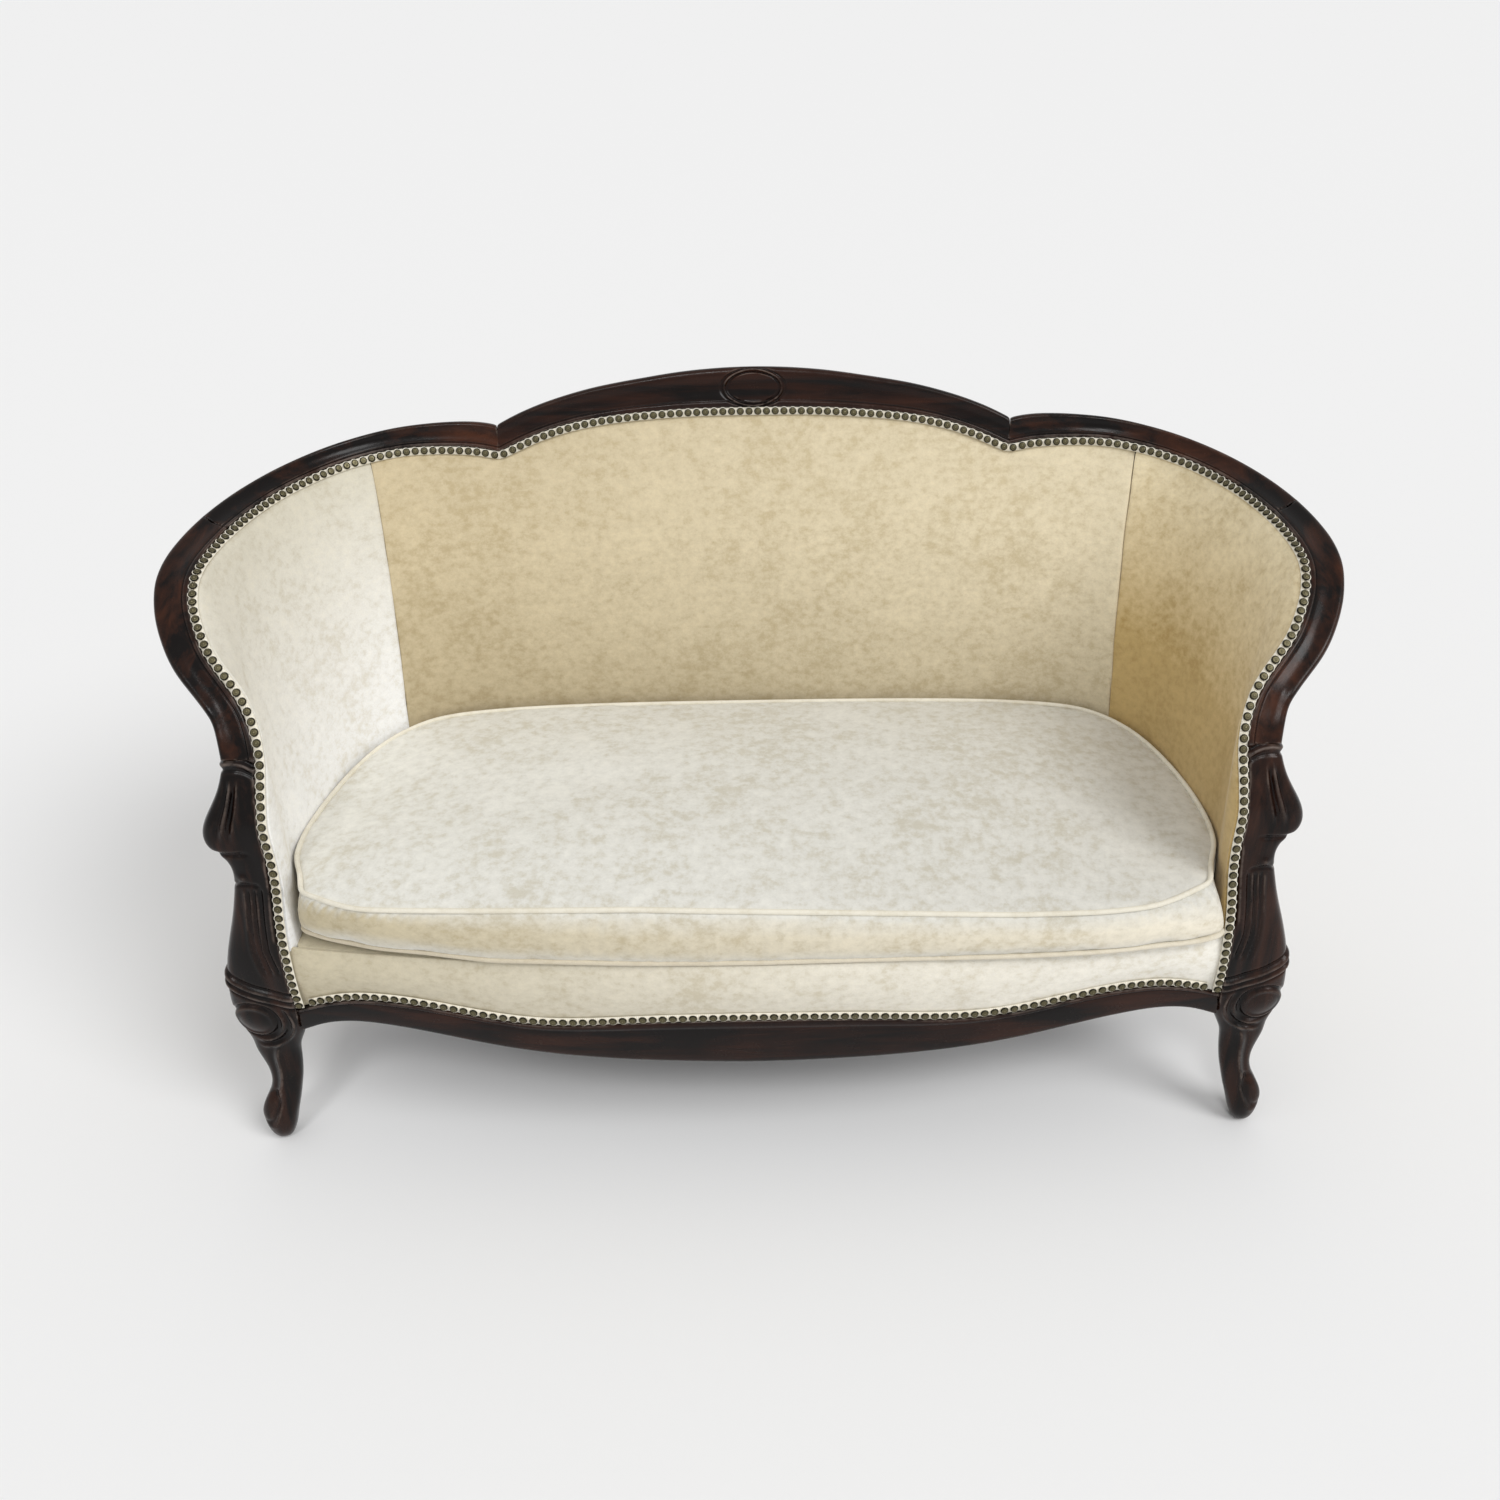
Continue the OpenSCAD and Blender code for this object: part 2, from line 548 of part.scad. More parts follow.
// The back leg fills the corner between the side and back rails; above them it runs on
// as a stile, in the hollow of the back, up to the shoulder rail
function square_ring(c, w, z) = let (
    q = [for (a = [225:-90:-45]) [c[0] + cos(a - foot_turn) * w / sqrt(2),
        c[1] + sin(a - foot_turn) * w / sqrt(2), z]])
    [q[0], q[1], mix(q[1], q[2], 0.5), q[2], q[3], mix(q[3], q[0], 0.5)];
foot_side_share = 0.3;
ankle_share = 0.65;
ankle_grow_share = 0.15;
function foot_ring(up) = let (c = rim(corner_share, rail_mid)) square_ring(
    [c[0] + back_leg_rake * foot_side_share * (1 - up * ankle_share),
        c[1] + back_leg_rake * (1 - up * ankle_share)],
    back_leg_foot * (1 + up * ankle_grow_share), seat_rail_z * ankle_share * up);
function wedge(t0, t1, t2, in, out, z) = [for (p = [
    rim(t0, in), rim(t0, out), rim(t1, out), rim(t2, out), rim(t2, in), rim(t1, in)]) [p[0], p[1], z]];
function between(k) = let (a = pad_station(floor(k)), b = pad_station(ceil(k)), t = k - floor(k))
    [mix(a[0], b[0], t), unit(mix(a[1], b[1], t)), unit(mix(a[2], b[2], t)), mix(a[3], b[3], t),
        mix(a[4], b[4], t)];
function under(k, b) = off(between(k), -rebate_w - 4 * seat_gap, -b);
function stile_top(k, reach) = [under(k - reach, frame_in), under(k - reach, frame_out),
    under(k, frame_out), under(k + reach, frame_out), under(k + reach, frame_in), under(k, frame_in)];
stile_rear_t = between(seam_station - stile_reach)[4];
stile_side_t = between(seam_station + stile_reach)[4];
function corner_ring(z) = wedge(leg_rear_t, corner_share, leg_side_t, rail_off, rail_out, z);
function stile_ring(z) = wedge(stile_rear_t, corner_share, stile_side_t, frame_in, frame_out, z);
module back_leg() color(wood) difference() {
    skin([foot_ring(0), foot_ring(1), corner_ring(seat_rail_z), corner_ring(rail_top),
        stile_ring(rail_top + seat_rail_t), stile_ring(seat_h), stile_top(seam_station, stile_reach)]);
    rails_dowel(leg_side_t, dowel_dia + play, dowel_l + play);
    rails_dowel(leg_rear_t, dowel_dia + play, dowel_l + play);
}
module left_back_leg() stand() mirror([1, 0, 0]) back_leg();
module right_back_leg() stand() back_leg();

// The stuffing rails run behind the foot of the padding, just above the deck
module arm_stuffing_rail() color(beech) translate([0, 0, stuffing_z])
    linear_extrude(stuffing_rail_h) intersection() {
        polygon(strip(stile_side_t, stuffing_end_share, frame_in, frame_out));
        translate([0, leg_back + play]) square([seat_w, seat_d]);
    }
module left_arm_stuffing_rail() stand() mirror([1, 0, 0]) arm_stuffing_rail();
module right_arm_stuffing_rail() stand() arm_stuffing_rail();
module back_stuffing_rail() color(beech) stand() translate([0, 0, stuffing_z])
    linear_extrude(stuffing_rail_h) polygon(half_ring(stile_rear_t, frame_in, frame_out));

// Two uprights carry the crest rail from the back stuffing rail
module back_uprights() color(beech) stand() both() {
    reach = upright_k * upright_w / (2 * between(upright_k)[0][0]);
    t = [for (i = [-1:1]) between(upright_k + i * reach)[4]];
    skin([wedge(t[0], t[1], t[2], frame_in, frame_out, stuffing_z + stuffing_rail_h),
        wedge(t[0], t[1], t[2], frame_in, frame_out, seat_h), stile_top(upright_k, reach)]);
}

// A plain batten behind the front rail takes the front ends of the webbing
function front_line(inset) = [for (f = inner_stations) let (p = off(f, 0, -inset)) [p[0], p[1]]];
inner_stations = [for (f = apron_stations) if (abs(f[0][0]) < leg_inner - rebate_w) f];
module webbing_batten() color(beech) stand() difference() {
    translate([0, 0, seat_rail_z]) linear_extrude(batten_h) polygon(concat(
        front_line(apron_t + seat_gap), backwards(front_line(apron_t + batten_t))));
    both() batten_screws(screw_dia + play, batten_screw_l + play);
}

// Blocks are glued and screwed into the four corners of the seat frame
side_screw_share = [0.54, 0.6];
batten_screw_share = [0.3, 0.36];
module side_screws(d, l) translate([block_x + block_w * side_screw_share[0],
    leg_back + block_l * side_screw_share[1], seat_rail_z + block_h / 2])
    rotate([0, 90, 0]) cylinder(d = d, h = l);
module batten_screws(d, l) translate([block_x + block_w * batten_screw_share[0],
    leg_back + block_l * batten_screw_share[1], seat_rail_z + batten_h / 2])
    rotate([90, 0, 0]) cylinder(d = d, h = l);
block_x = leg_inner - block_w;
module front_block() difference() {
    translate([0, 0, seat_rail_z]) linear_extrude(block_h) polygon(concat(
        line(block_t[0], block_t[1], rail_off - seat_gap),
        [[block_x, bow_y(block_x) + apron_t + batten_t + 6 * seat_gap],
        [block_x, bow_y(block_x) + apron_t + batten_t + block_l * block_end_share]]));
    side_screws(screw_dia + play, screw_l + play);
    batten_screws(screw_dia + play, batten_screw_l + play);
}
module rear_block() translate([0, 0, seat_rail_z]) linear_extrude(block_h)
    polygon(line(leg_rear_t - block_reach_share, leg_side_t + block_reach_share, rail_off - seat_gap));
module corner_blocks() color(beech) stand() both() {
    front_block();
    rear_block();
}
module corner_block_screws() color(steel) stand() both() {
    side_screws(screw_dia, screw_l);
    batten_screws(screw_dia, batten_screw_l);
}
module frame_dowels() color(beech) stand() both() {
    apron_dowel_row(dowel_dia, dowel_l);
    side_dowel_row(dowel_dia, dowel_l);
    rails_dowel(leg_side_t, dowel_dia, dowel_l);
    rails_dowel(leg_rear_t, dowel_dia, dowel_l);
}

// Webbing is tacked under the rails: long strips above, cross strips below them. The
// springs stand where every other pair of strips crosses
web_x_share = 0.111;
web_y_share = [0.2, 0.14];
function web_x(i) = i * seat_w * web_x_share;
function web_y(j) = seat_d * (web_y_share[0] + web_y_share[1] * j);
module webs(z) translate([0, 0, z]) linear_extrude(web_t) intersection() {
    polygon(seat_plan(rail_mid, apron_t + seat_gap));
    children();
}
module seat_webbing() color(jute) stand() {
    webs(web_z) for (j = [0:4]) translate([-seat_w, web_y(j) - web_w / 2]) square([2 * seat_w, web_w]);
    webs(web_z - web_t - seat_gap) for (i = [-3:3]) translate([web_x(i) - web_w / 2, -bow])
        square([web_w, 2 * seat_d]);
}

// A waisted coil spring: a square-cut tube along a helix that draws in at the middle
spring_z = web_z + web_t + seat_gap;
spring_h = canvas_z - spring_z - seat_gap;
function coil(i) = let (
    u = i / (spring_turns * spring_rings),
    r = (spring_dia - wire_dia) / 2 * (1 - spring_waist_share * sin(180 * u)),
    a = 360 * i / spring_rings,
    z = mix(wire_dia / 2, spring_h - wire_dia / 2, u))
    [for (q = [0:3]) let (e = r + cos(90 * q) * wire_dia / 2)
        [e * cos(a), e * sin(a), z - sin(90 * q) * wire_dia / 2]];
module seat_springs() color(steel) stand()
    for (i = [-3:2:3], j = [0:2:4]) translate([web_x(i), web_y(j), spring_z])
        skin([for (k = [0:spring_turns * spring_rings]) backwards(coil(k))]);

// Flat layers of the seat: canvas over the springs, the stuffed deck, the dust cover
function seat_plan(out, front) = concat(whole(deck_t, out), front_line(front));
module layer(z, h, out, front) translate([0, 0, z]) linear_extrude(h) polygon(seat_plan(out, front));
module spring_canvas() color(jute) stand() layer(canvas_z, canvas_t, pad_back, pad_back + seat_gap);
module seat_deck() color(velvet) stand() layer(canvas_z + canvas_t + seat_gap,
    deck_z - canvas_z - canvas_t - 2 * seat_gap, pad_back, pad_back + seat_gap);
// The dust cover is cut round the back legs
function cover_side() = concat(line(tick, leg_rear_t - tick, rail_mid),
    line(leg_rear_t - tick, leg_side_t + tick, rail_off - 2 * seat_gap),
    line(leg_side_t + tick, deck_t, rail_mid));
module dust_cover() color(black_cloth) stand() translate([0, 0, web_z - 2 * web_t - 3 * seat_gap])
    linear_extrude(web_t) polygon(concat(other(cover_side()), cover_side(),
        front_line(apron_t + seat_gap)));

// The upholstered band below the cushion, nailed along the front rail
function band_ring(f) = let (
    h = deck_z - seat_gap - f[0][2],
    ledge = [[f[0][0], f[0][1], 0], [0, 0, 1], f[2]],
    z = f[0][2])
    [for (p = [
        [z + edge_gap, -pad_back], [z + edge_gap, -edge_face], [z + rebate_w, -edge_face + seat_gap],
        [z + h * band_share[0], -seat_gap], [z + h * band_share[1], band_crown],
        [z + h * band_share[2], 0],
        [z + h, -band_round], [z + h, -pad_back]])
        off(ledge, p[0], p[1])];
module front_band() color(velvet) stand()
    skin([for (f = apron_stations) backwards(band_ring(f))]);

// Padded lining of the back and arms. Each ring runs from the wood's edge down the back
// of the padding to the deck, and up its face to the wood again. Where the arm swings in
// to the post the padding rolls inwards before it drops, clear of the wood
roll_share = [[10, 0], [11, 0.35], [13, 0.9], [14, 1], [17, 1], [18, 0.55], [19, 0.25], [29, 0.1]];
back_roll_share = [[0.88, 1], [0.6, 0.7], [0.3, 0.25]];
face_roll_share = [[0.15, 0], [0.3, 0.2], [0.5, 0.5], [0.7, 0.85], [0.87, 1]];
function roll(k) = roll_w * lookup(k - crest_last, roll_share);
// The padding's face stays out of the cushion's way as it lifts past the posts
clear_share = [[10, 1], [13, 1], [15, 0.7], [16, 0.5], [17, 0.3], [18, 0.18], [19, 0.12], [29, 0.1]];
function clear(k) = lookup(k - crest_last, clear_share);
function foot_dir(f) = let (d = plan_dir(f[4])) [-d[1], d[0], 0];
function foot_at(f, out, z) = let (p = plan(f[4], out)) [p[0], p[1], z];
function pad_ring(k) = let (
    f = pad_station(k),
    out = foot_dir(f),
    c = off(f, -lip(k) - 4 * seat_gap - edge_gap, -pad_back),
    open = max(0, min(1, -(f[2] * out))),
    start = off(f, -max(hem_w, lip(k) * open) - edge_gap, -edge_face) - out * (pad_t * (1 - open)),
    toe = k == pad_last ? leg_at(toe_row) : f,
    foot_out = foot_at(f, pad_back, seat_h),
    foot_in = foot_at(f, 0, seat_h),
    low_out = k == pad_last ? off(toe, -edge_gap, -pad_back) : foot_at(f, pad_back, deck_z),
    low_in = k == pad_last ? off(toe, -hem_w - edge_gap, -pad_back) : foot_at(f, 0, deck_z))
    concat(
        [off(f, -edge_gap, -pad_back), c],
        [for (v = back_roll_share) mix(foot_out, c, v[0]) - f[1] * (roll(k) * v[1])],
        [foot_out, low_out, low_in, foot_in],
        [for (v = face_roll_share) mix(foot_in, start, v[0]) - f[1] * (roll(k) * clear(k) * v[1])
            - out * (pad_crown * clear(k) * sin(180 * v[0]))],
        [start, off(f, -edge_gap, -edge_face)]);
module inside_back() color(velvet) stand() skin(folded = true, middle = seam_station, face_last = true,
    rings = concat(
    [for (k = [seam_station:-1:1]) [for (p = pad_ring(k)) flip(p)]],
    [for (k = [0:seam_station]) pad_ring(k)]));
module inside_arm() color(velvet) skin(folded = true, face_last = true, rings = concat(
    [[for (i = [0:len(pad_ring(0)) - 1])
        mix(pad_ring(seam_station)[i], pad_ring(seam_station + 1)[i], seam_share)]],
    [for (k = [seam_station + 1:crest_last + joint_row]) pad_ring(k)],
    [for (k = [crest_last + joint_row + 1 / steps:1 / steps:lip_rows[1]]) pad_ring(k)],
    [for (k = [lip_rows[1] + 1:pad_last]) pad_ring(k)]));
module left_inside_arm() stand() mirror([1, 0, 0]) inside_arm();
module right_inside_arm() stand() inside_arm();

// Horizontal webbing carries the padding of the back
function pad_wall(k, v, out) = let (f = pad_station(k))
    mix(foot_at(f, pad_back, seat_h),
        off(f, -lip(k) - 4 * seat_gap - edge_gap, -pad_back), v) + foot_dir(f) * out;
function full(k, v, out) = k < 0 ? flip(pad_wall(-k, v, out)) : pad_wall(k, v, out);
back_web_share = [0.12, 0.4, 0.68];
module back_webbing() color(jute) stand() for (v = back_web_share)
    skin([for (k = [1 - seam_station:seam_station - 1]) [
        full(k, v + web_w / back_h, 2 * seat_gap), full(k, v + web_w / back_h, 2 * seat_gap + web_t),
        full(k, v, 2 * seat_gap + web_t), full(k, v, 2 * seat_gap)]]);

// Outside cloth over its backing, from behind the rail down over the seat rails
function sheet_ring(k) = let (
    f = pad_station(k),
    out = foot_dir(f),
    open = max(0, min(1, -(f[2] * out))),
    top = off(f, mix(sheet_arm_share * f[3], -rebate_w / 2, open), -rail_t - 5 * seat_gap),
    edge = rail_out + seat_gap + post_shift(f[4]),
    foot = foot_at(f, edge, seat_h),
    low = foot_at(f, edge, seat_rail_z + cloth_t))
    [top + out * cloth_t, foot + out * cloth_t, low + out * cloth_t, low, foot, top];
module outside_back() color(velvet) stand() skin(folded = true, middle = seam_station, rings = concat(
    [for (k = [seam_station:-1:1]) [for (p = sheet_ring(k)) flip(p)]],
    [for (k = [0:seam_station]) sheet_ring(k)]));
module outside_arm() color(velvet)
    skin(folded = true, rings = [for (k = [seam_station:sheet_last]) sheet_ring(k)]);
module left_outside_arm() stand() mirror([1, 0, 0]) outside_arm();
module right_outside_arm() stand() outside_arm();

// The cloth's trimmed edge, and the nails along it
function hem_ring(f) = [for (p = [
    [-hem_w - edge_gap, -hem_b - web_t], [-hem_w - edge_gap, -hem_b],
    [-edge_gap, -hem_b], [-edge_gap, -hem_b - web_t]]) off(f, p[0], p[1])];
module hem_strip() color(cream) stand() {
    skin(concat(
        [for (k = [len(half_stations) - 1:-1:1]) [for (p = hem_ring(half_stations[k])) flip(p)]],
        [for (f = half_stations) hem_ring(f)]));
    skin([for (f = hem_stations) hem_ring(f)]);
}

module nail() rotate_extrude($fn = 16) polygon([for (p = nail_share) p * nail_dia]);
function lengths(fs, i = 0, sum = 0, out = []) = i == len(fs) ? out
    : let (s = i == 0 ? 0 : sum + norm(fs[i][0] - fs[i - 1][0]))
        lengths(fs, i + 1, s, concat(out, [[s, i]]));
module nail_row(fs) {
    table = lengths(fs);
    run = table[len(table) - 1][0];
    count = floor(run / nail_pitch);
    for (n = [0:count - 1]) {
        s = lookup((n + 0.5) * run / count, table);
        i = min(floor(s), len(fs) - 2);
        t = s - i;
        along = unit(fs[i + 1][0] - fs[i][0]);
        before = i > 0 ? unit(fs[i][0] - fs[i - 1][0]) : along;
        after = i + 2 < len(fs) ? unit(fs[i + 2][0] - fs[i + 1][0]) : along;
        tilt = mix(fs[i][2], fs[i + 1][2], t);
        up = unit(tilt - along * (tilt * along));
        a = mix(fs[i][1], fs[i + 1][1], t);
        x = unit(a - up * (a * up));
        y = cross(up, x);
        swing = mix(abs((along - before) * up), abs((after - along) * up), t);
        lift = 2 * seat_gap - hem_b + swing * nail_dia / 2;
        p = mix(off(fs[i], -nail_in, lift), off(fs[i + 1], -nail_in, lift), t);
        multmatrix([[x[0], y[0], up[0], p[0]], [x[1], y[1], up[1], p[1]], [x[2], y[2], up[2], p[2]]])
            nail();
    }
}
hem_stations = [for (f = apron_stations) if (abs(f[0][0]) < leg_inner - hem_w - 2 * edge_gap) f];
notch_at = crest_last * steps;
joint_at = (crest_last + joint_row) * steps;
elbow_at = (crest_last + elbow_row) * steps;
third = (len(hem_stations) - 1) / 2 - middle_rows;
module edge_nails(from, to) color(brass) nail_row([for (i = [from:to]) half_stations[i]]);
module front_row(from, to) color(brass) stand() nail_row([for (i = [from:to]) hem_stations[i]]);
module right_crest_nails() stand() edge_nails(0, notch_at);
module left_crest_nails() stand() mirror([1, 0, 0]) edge_nails(0, notch_at);
module right_shoulder_nails() stand() edge_nails(notch_at, joint_at);
module left_shoulder_nails() stand() mirror([1, 0, 0]) edge_nails(notch_at, joint_at);
module right_arm_nails() stand() edge_nails(joint_at, elbow_at);
module left_arm_nails() stand() mirror([1, 0, 0]) edge_nails(joint_at, elbow_at);
module right_leg_nails() stand() edge_nails(elbow_at, len(half_stations) - 1);
module left_leg_nails() stand() mirror([1, 0, 0]) edge_nails(elbow_at, len(half_stations) - 1);
module right_front_nails() front_row(0, third);
module middle_front_nails() front_row(third, len(hem_stations) - 1 - third);
module left_front_nails() front_row(len(hem_stations) - 1 - third, len(hem_stations) - 1);

// Loose seat cushion: a boxed cushion with piped seams at its top and bottom
cushion_half = concat(
    [for (i = [0:cushion_plan_rows]) let (p = plan(i / plan_last, -cushion_gap - welt_dia / 4))
        [p[0], p[1], 0]],
    [for (p = nose_share) [p[0] * seat_hw, -p[1] * bow, 0]]);
cushion_rows = concat([flip(cushion_half[1])], cushion_half, [flip(cushion_half[len(cushion_half) - 2])]);
cushion_steps = (len(cushion_half) - 1) * steps;
cushion_side = [for (i = [0:cushion_steps]) let (p = at(cushion_rows, 1 + i / steps)) [p[0], p[1]]];
cushion_line = concat(cushion_side,
    [for (i = [cushion_steps - 1:-1:1]) [-cushion_side[i][0], cushion_side[i][1]]]);
cushion_n = len(cushion_line);
function cushion_in(i) = let (
    d = unit(cushion_line[(i + 1) % cushion_n] - cushion_line[(i + cushion_n - 1) % cushion_n]))
    [d[1], -d[0]];
cushion_mid_share = 0.45;
cushion_mid = [0, seat_d * cushion_mid_share];
function cushion_ring(inset, z, s = 1) = [for (i = [0:cushion_n - 1]) let (
    p = mix(cushion_mid, cushion_line[i] + cushion_in(i) * inset, s)) [p[0], p[1], z]];
seam_in = welt_dia / 2 + boxing_pull;
seam_low = deck_z + welt_dia * 3 / 4;
seam_high = seat_h - welt_dia / 4;
notch = welt_dia / 2 + seat_gap;
shoulder_share = 0.3;
boxing_share = 0.25;
function boxing_z(share) = mix(seam_low, seam_high, share);
module seat_cushion() color(cushion_velvet) stand() skin(concat(
    [cushion_ring(seam_in + notch * 1.5, deck_z), cushion_ring(seam_in + notch, seam_low + notch),
        cushion_ring(boxing_pull, seam_low + notch * (1 + shoulder_share)),
        cushion_ring(boxing_pull * boxing_share, boxing_z(shoulder_share)),
        cushion_ring(0, boxing_z(1 / 2)),
        cushion_ring(boxing_pull * boxing_share, boxing_z(1 - shoulder_share)),
        cushion_ring(boxing_pull, seam_high - notch * (1 + shoulder_share)),
        cushion_ring(seam_in + notch, seam_high - notch)],
    [for (s = crown_share)
        cushion_ring(seam_in + notch, seam_high + notch / 2 + crown_h * (1 - s ^ 4), s)]));
function welt_ring(i, z) = let (n = cushion_in(i), c = cushion_line[i] + n * seam_in)
    [for (a = [45:90:315]) [c[0] - n[0] * cos(a) * welt_dia / 2, c[1] - n[1] * cos(a) * welt_dia / 2,
        z + sin(a) * welt_dia / 2]];
module welt(z) color(cushion_velvet) stand()
    skin([for (i = [0:cushion_n - 1]) backwards(welt_ring(i, z))], looped = true);
module cushion_top_welt() welt(seam_high);
module cushion_bottom_welt() welt(seam_low);

crest_rail();
left_shoulder_rail();
right_shoulder_rail();
left_arm_rail();
right_arm_rail();
left_front_leg();
right_front_leg();
front_rail();
left_side_rail();
right_side_rail();
back_seat_rail();
left_back_leg();
right_back_leg();
left_arm_stuffing_rail();
right_arm_stuffing_rail();
back_stuffing_rail();
back_uprights();
webbing_batten();
corner_blocks();
corner_block_screws();
frame_dowels();
seat_webbing();
seat_springs();
spring_canvas();
seat_deck();
front_band();
back_webbing();
inside_back();
left_inside_arm();
right_inside_arm();
outside_back();
left_outside_arm();
right_outside_arm();
dust_cover();
hem_strip();
left_crest_nails();
right_crest_nails();
left_shoulder_nails();
right_shoulder_nails();
left_arm_nails();
right_arm_nails();
left_leg_nails();
right_leg_nails();
left_front_nails();
middle_front_nails();
right_front_nails();
seat_cushion();
cushion_top_welt();
cushion_bottom_welt();
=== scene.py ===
import math
import bpy
import numpy as np
from mathutils import Matrix, Vector, noise
from mathutils.kdtree import KDTree


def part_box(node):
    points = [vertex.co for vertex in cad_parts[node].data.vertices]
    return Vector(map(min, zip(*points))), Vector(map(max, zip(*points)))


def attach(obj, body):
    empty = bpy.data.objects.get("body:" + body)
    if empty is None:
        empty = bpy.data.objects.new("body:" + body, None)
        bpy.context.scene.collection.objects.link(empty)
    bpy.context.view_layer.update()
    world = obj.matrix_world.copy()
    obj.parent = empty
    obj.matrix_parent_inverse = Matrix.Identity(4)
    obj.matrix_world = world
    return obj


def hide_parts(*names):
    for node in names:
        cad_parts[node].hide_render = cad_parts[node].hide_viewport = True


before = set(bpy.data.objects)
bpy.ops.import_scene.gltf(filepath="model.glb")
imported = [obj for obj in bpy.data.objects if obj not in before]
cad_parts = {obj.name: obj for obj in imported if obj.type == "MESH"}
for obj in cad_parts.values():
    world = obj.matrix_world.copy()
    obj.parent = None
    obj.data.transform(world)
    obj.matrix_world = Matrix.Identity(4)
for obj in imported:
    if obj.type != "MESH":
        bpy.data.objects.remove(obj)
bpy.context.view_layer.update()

# The setting: a plain pale floor, soft light from two wide sources and from all round, and
# the camera that looks down on the sofa from in front, a little to its right.
camera = bpy.data.objects.new("camera", bpy.data.cameras.new("camera"))
bpy.context.scene.collection.objects.link(camera)
camera.data.sensor_width = 36
camera.data.lens = 33.6
camera.data.shift_x = -0.0331
camera.data.clip_end = 120
camera.matrix_world = Matrix((
    (0.99984, 0.016209, -0.007565, 0.04757),
    (-0.01497, 0.526797, -0.849859, -1.82993),
    (-0.00979, 0.849836, 0.526956, 1.60318),
    (0, 0, 0, 1)))
bpy.context.scene.camera = camera

bpy.ops.object.select_all(action="DESELECT")
bpy.ops.mesh.primitive_plane_add(size=90, location=(0, 0, 0))
floor = bpy.context.active_object
floor.name = "studio_floor"
paper = bpy.data.materials.new("studio_paper")
paper.use_nodes = True
paper_shader = paper.node_tree.nodes["Principled BSDF"]
paper_shader.inputs["Base Color"].default_value = (0.86, 0.86, 0.86, 1)
paper_shader.inputs["Roughness"].default_value = 0.9
floor.data.materials.append(paper)

world = bpy.data.worlds.new("studio")
world.use_nodes = True
sky = world.node_tree.nodes["Background"]
sky.inputs["Color"].default_value = (1, 1, 1, 1)
sky.inputs["Strength"].default_value = 0.595
bpy.context.scene.world = world
for name, towards, width, energy in (
        ("window_light", (0.55, -0.45, 0.70), 28, 1.36),
        ("panel_light", (-0.12, -0.62, 0.78), 12, 0.52)):
    light = bpy.data.objects.new(name, bpy.data.lights.new(name, "SUN"))
    bpy.context.scene.collection.objects.link(light)
    light.rotation_euler = Vector(towards).to_track_quat("Z", "Y").to_euler()
    light.data.angle = math.radians(width)
    light.data.energy = energy
bpy.context.scene.view_settings.view_transform = "Standard"

# The show wood: crest, shoulders, arms and front rail are moulded from dark mahogany,
# stained nearly black and polished to a satin gloss, with paler worn edges, a pale grey of
# dust and painted highlight along the sharpest edges, and painted shade in the hollows.
def group_sockets(name, inputs, outputs):
    tree = bpy.data.node_groups.new(name, "ShaderNodeTree")
    for key, kind, value in inputs:
        socket = tree.interface.new_socket(key, in_out="INPUT", socket_type=kind)
        socket.default_value = value
    for key, kind in outputs:
        tree.interface.new_socket(key, in_out="OUTPUT", socket_type=kind)
    return tree, tree.nodes.new("NodeGroupInput"), tree.nodes.new("NodeGroupOutput")

def noise_node(tree, vector, scale, detail, rough=0.55, distort=0.0):
    n = tree.nodes.new("ShaderNodeTexNoise")
    n.inputs["Scale"].default_value = scale
    n.inputs["Detail"].default_value = detail
    n.inputs["Roughness"].default_value = rough
    n.inputs["Distortion"].default_value = distort
    tree.links.new(vector, n.inputs["Vector"])
    return n.outputs["Fac"]

def ramp_node(tree, value, low, high, to_low=0.0, to_high=1.0):
    n = tree.nodes.new("ShaderNodeMapRange")
    for key, v in (("From Min", low), ("From Max", high), ("To Min", to_low), ("To Max", to_high)):
        n.inputs[key].default_value = v
    tree.links.new(value, n.inputs["Value"])
    return n.outputs["Result"]

def blend_node(tree, factor, a, b, kind="MIX"):
    n = tree.nodes.new("ShaderNodeMix")
    n.data_type = "RGBA"
    n.blend_type = kind
    for socket, v in ((n.inputs[0], factor), (n.inputs[6], a), (n.inputs[7], b)):
        if isinstance(v, (int, float, tuple)):
            socket.default_value = v
        else:
            tree.links.new(v, socket)
    return n.outputs[2]

def math_node(tree, operation, a, b):
    n = tree.nodes.new("ShaderNodeMath")
    n.operation = operation
    for socket, v in ((n.inputs[0], a), (n.inputs[1], b)):
        if isinstance(v, (int, float)):
            socket.default_value = v
        else:
            tree.links.new(v, socket)
    return n.outputs[0]

def point_mask(tree, name):
    n = tree.nodes.new("ShaderNodeAttribute")
    n.attribute_name = name
    return n.outputs["Fac"]

def own_place(tree):
    return tree.nodes.new("ShaderNodeTexCoord").outputs["Object"]

grain, entry, leave = group_sockets("wood_grain", [
    ("Dark", "NodeSocketColor", (0.02, 0.01, 0.008, 1)),
    ("Light", "NodeSocketColor", (0.1, 0.04, 0.025, 1)),
    ("Along", "NodeSocketVector", (1, 12, 12)), ("Pores", "NodeSocketFloat", 0.5)],
    [("Color", "NodeSocketColor"), ("Figure", "NodeSocketFloat"), ("Height", "NodeSocketFloat")])
where = own_place(grain)
stretch = grain.nodes.new("ShaderNodeVectorMath")
stretch.operation = "MULTIPLY"
grain.links.new(where, stretch.inputs[0])
grain.links.new(entry.outputs["Along"], stretch.inputs[1])
bands = noise_node(grain, stretch.outputs[0], 3.2, 6, 0.6, 0.5)
fibres = noise_node(grain, stretch.outputs[0], 26, 5, 0.7)
patches = noise_node(grain, where, 5, 3)
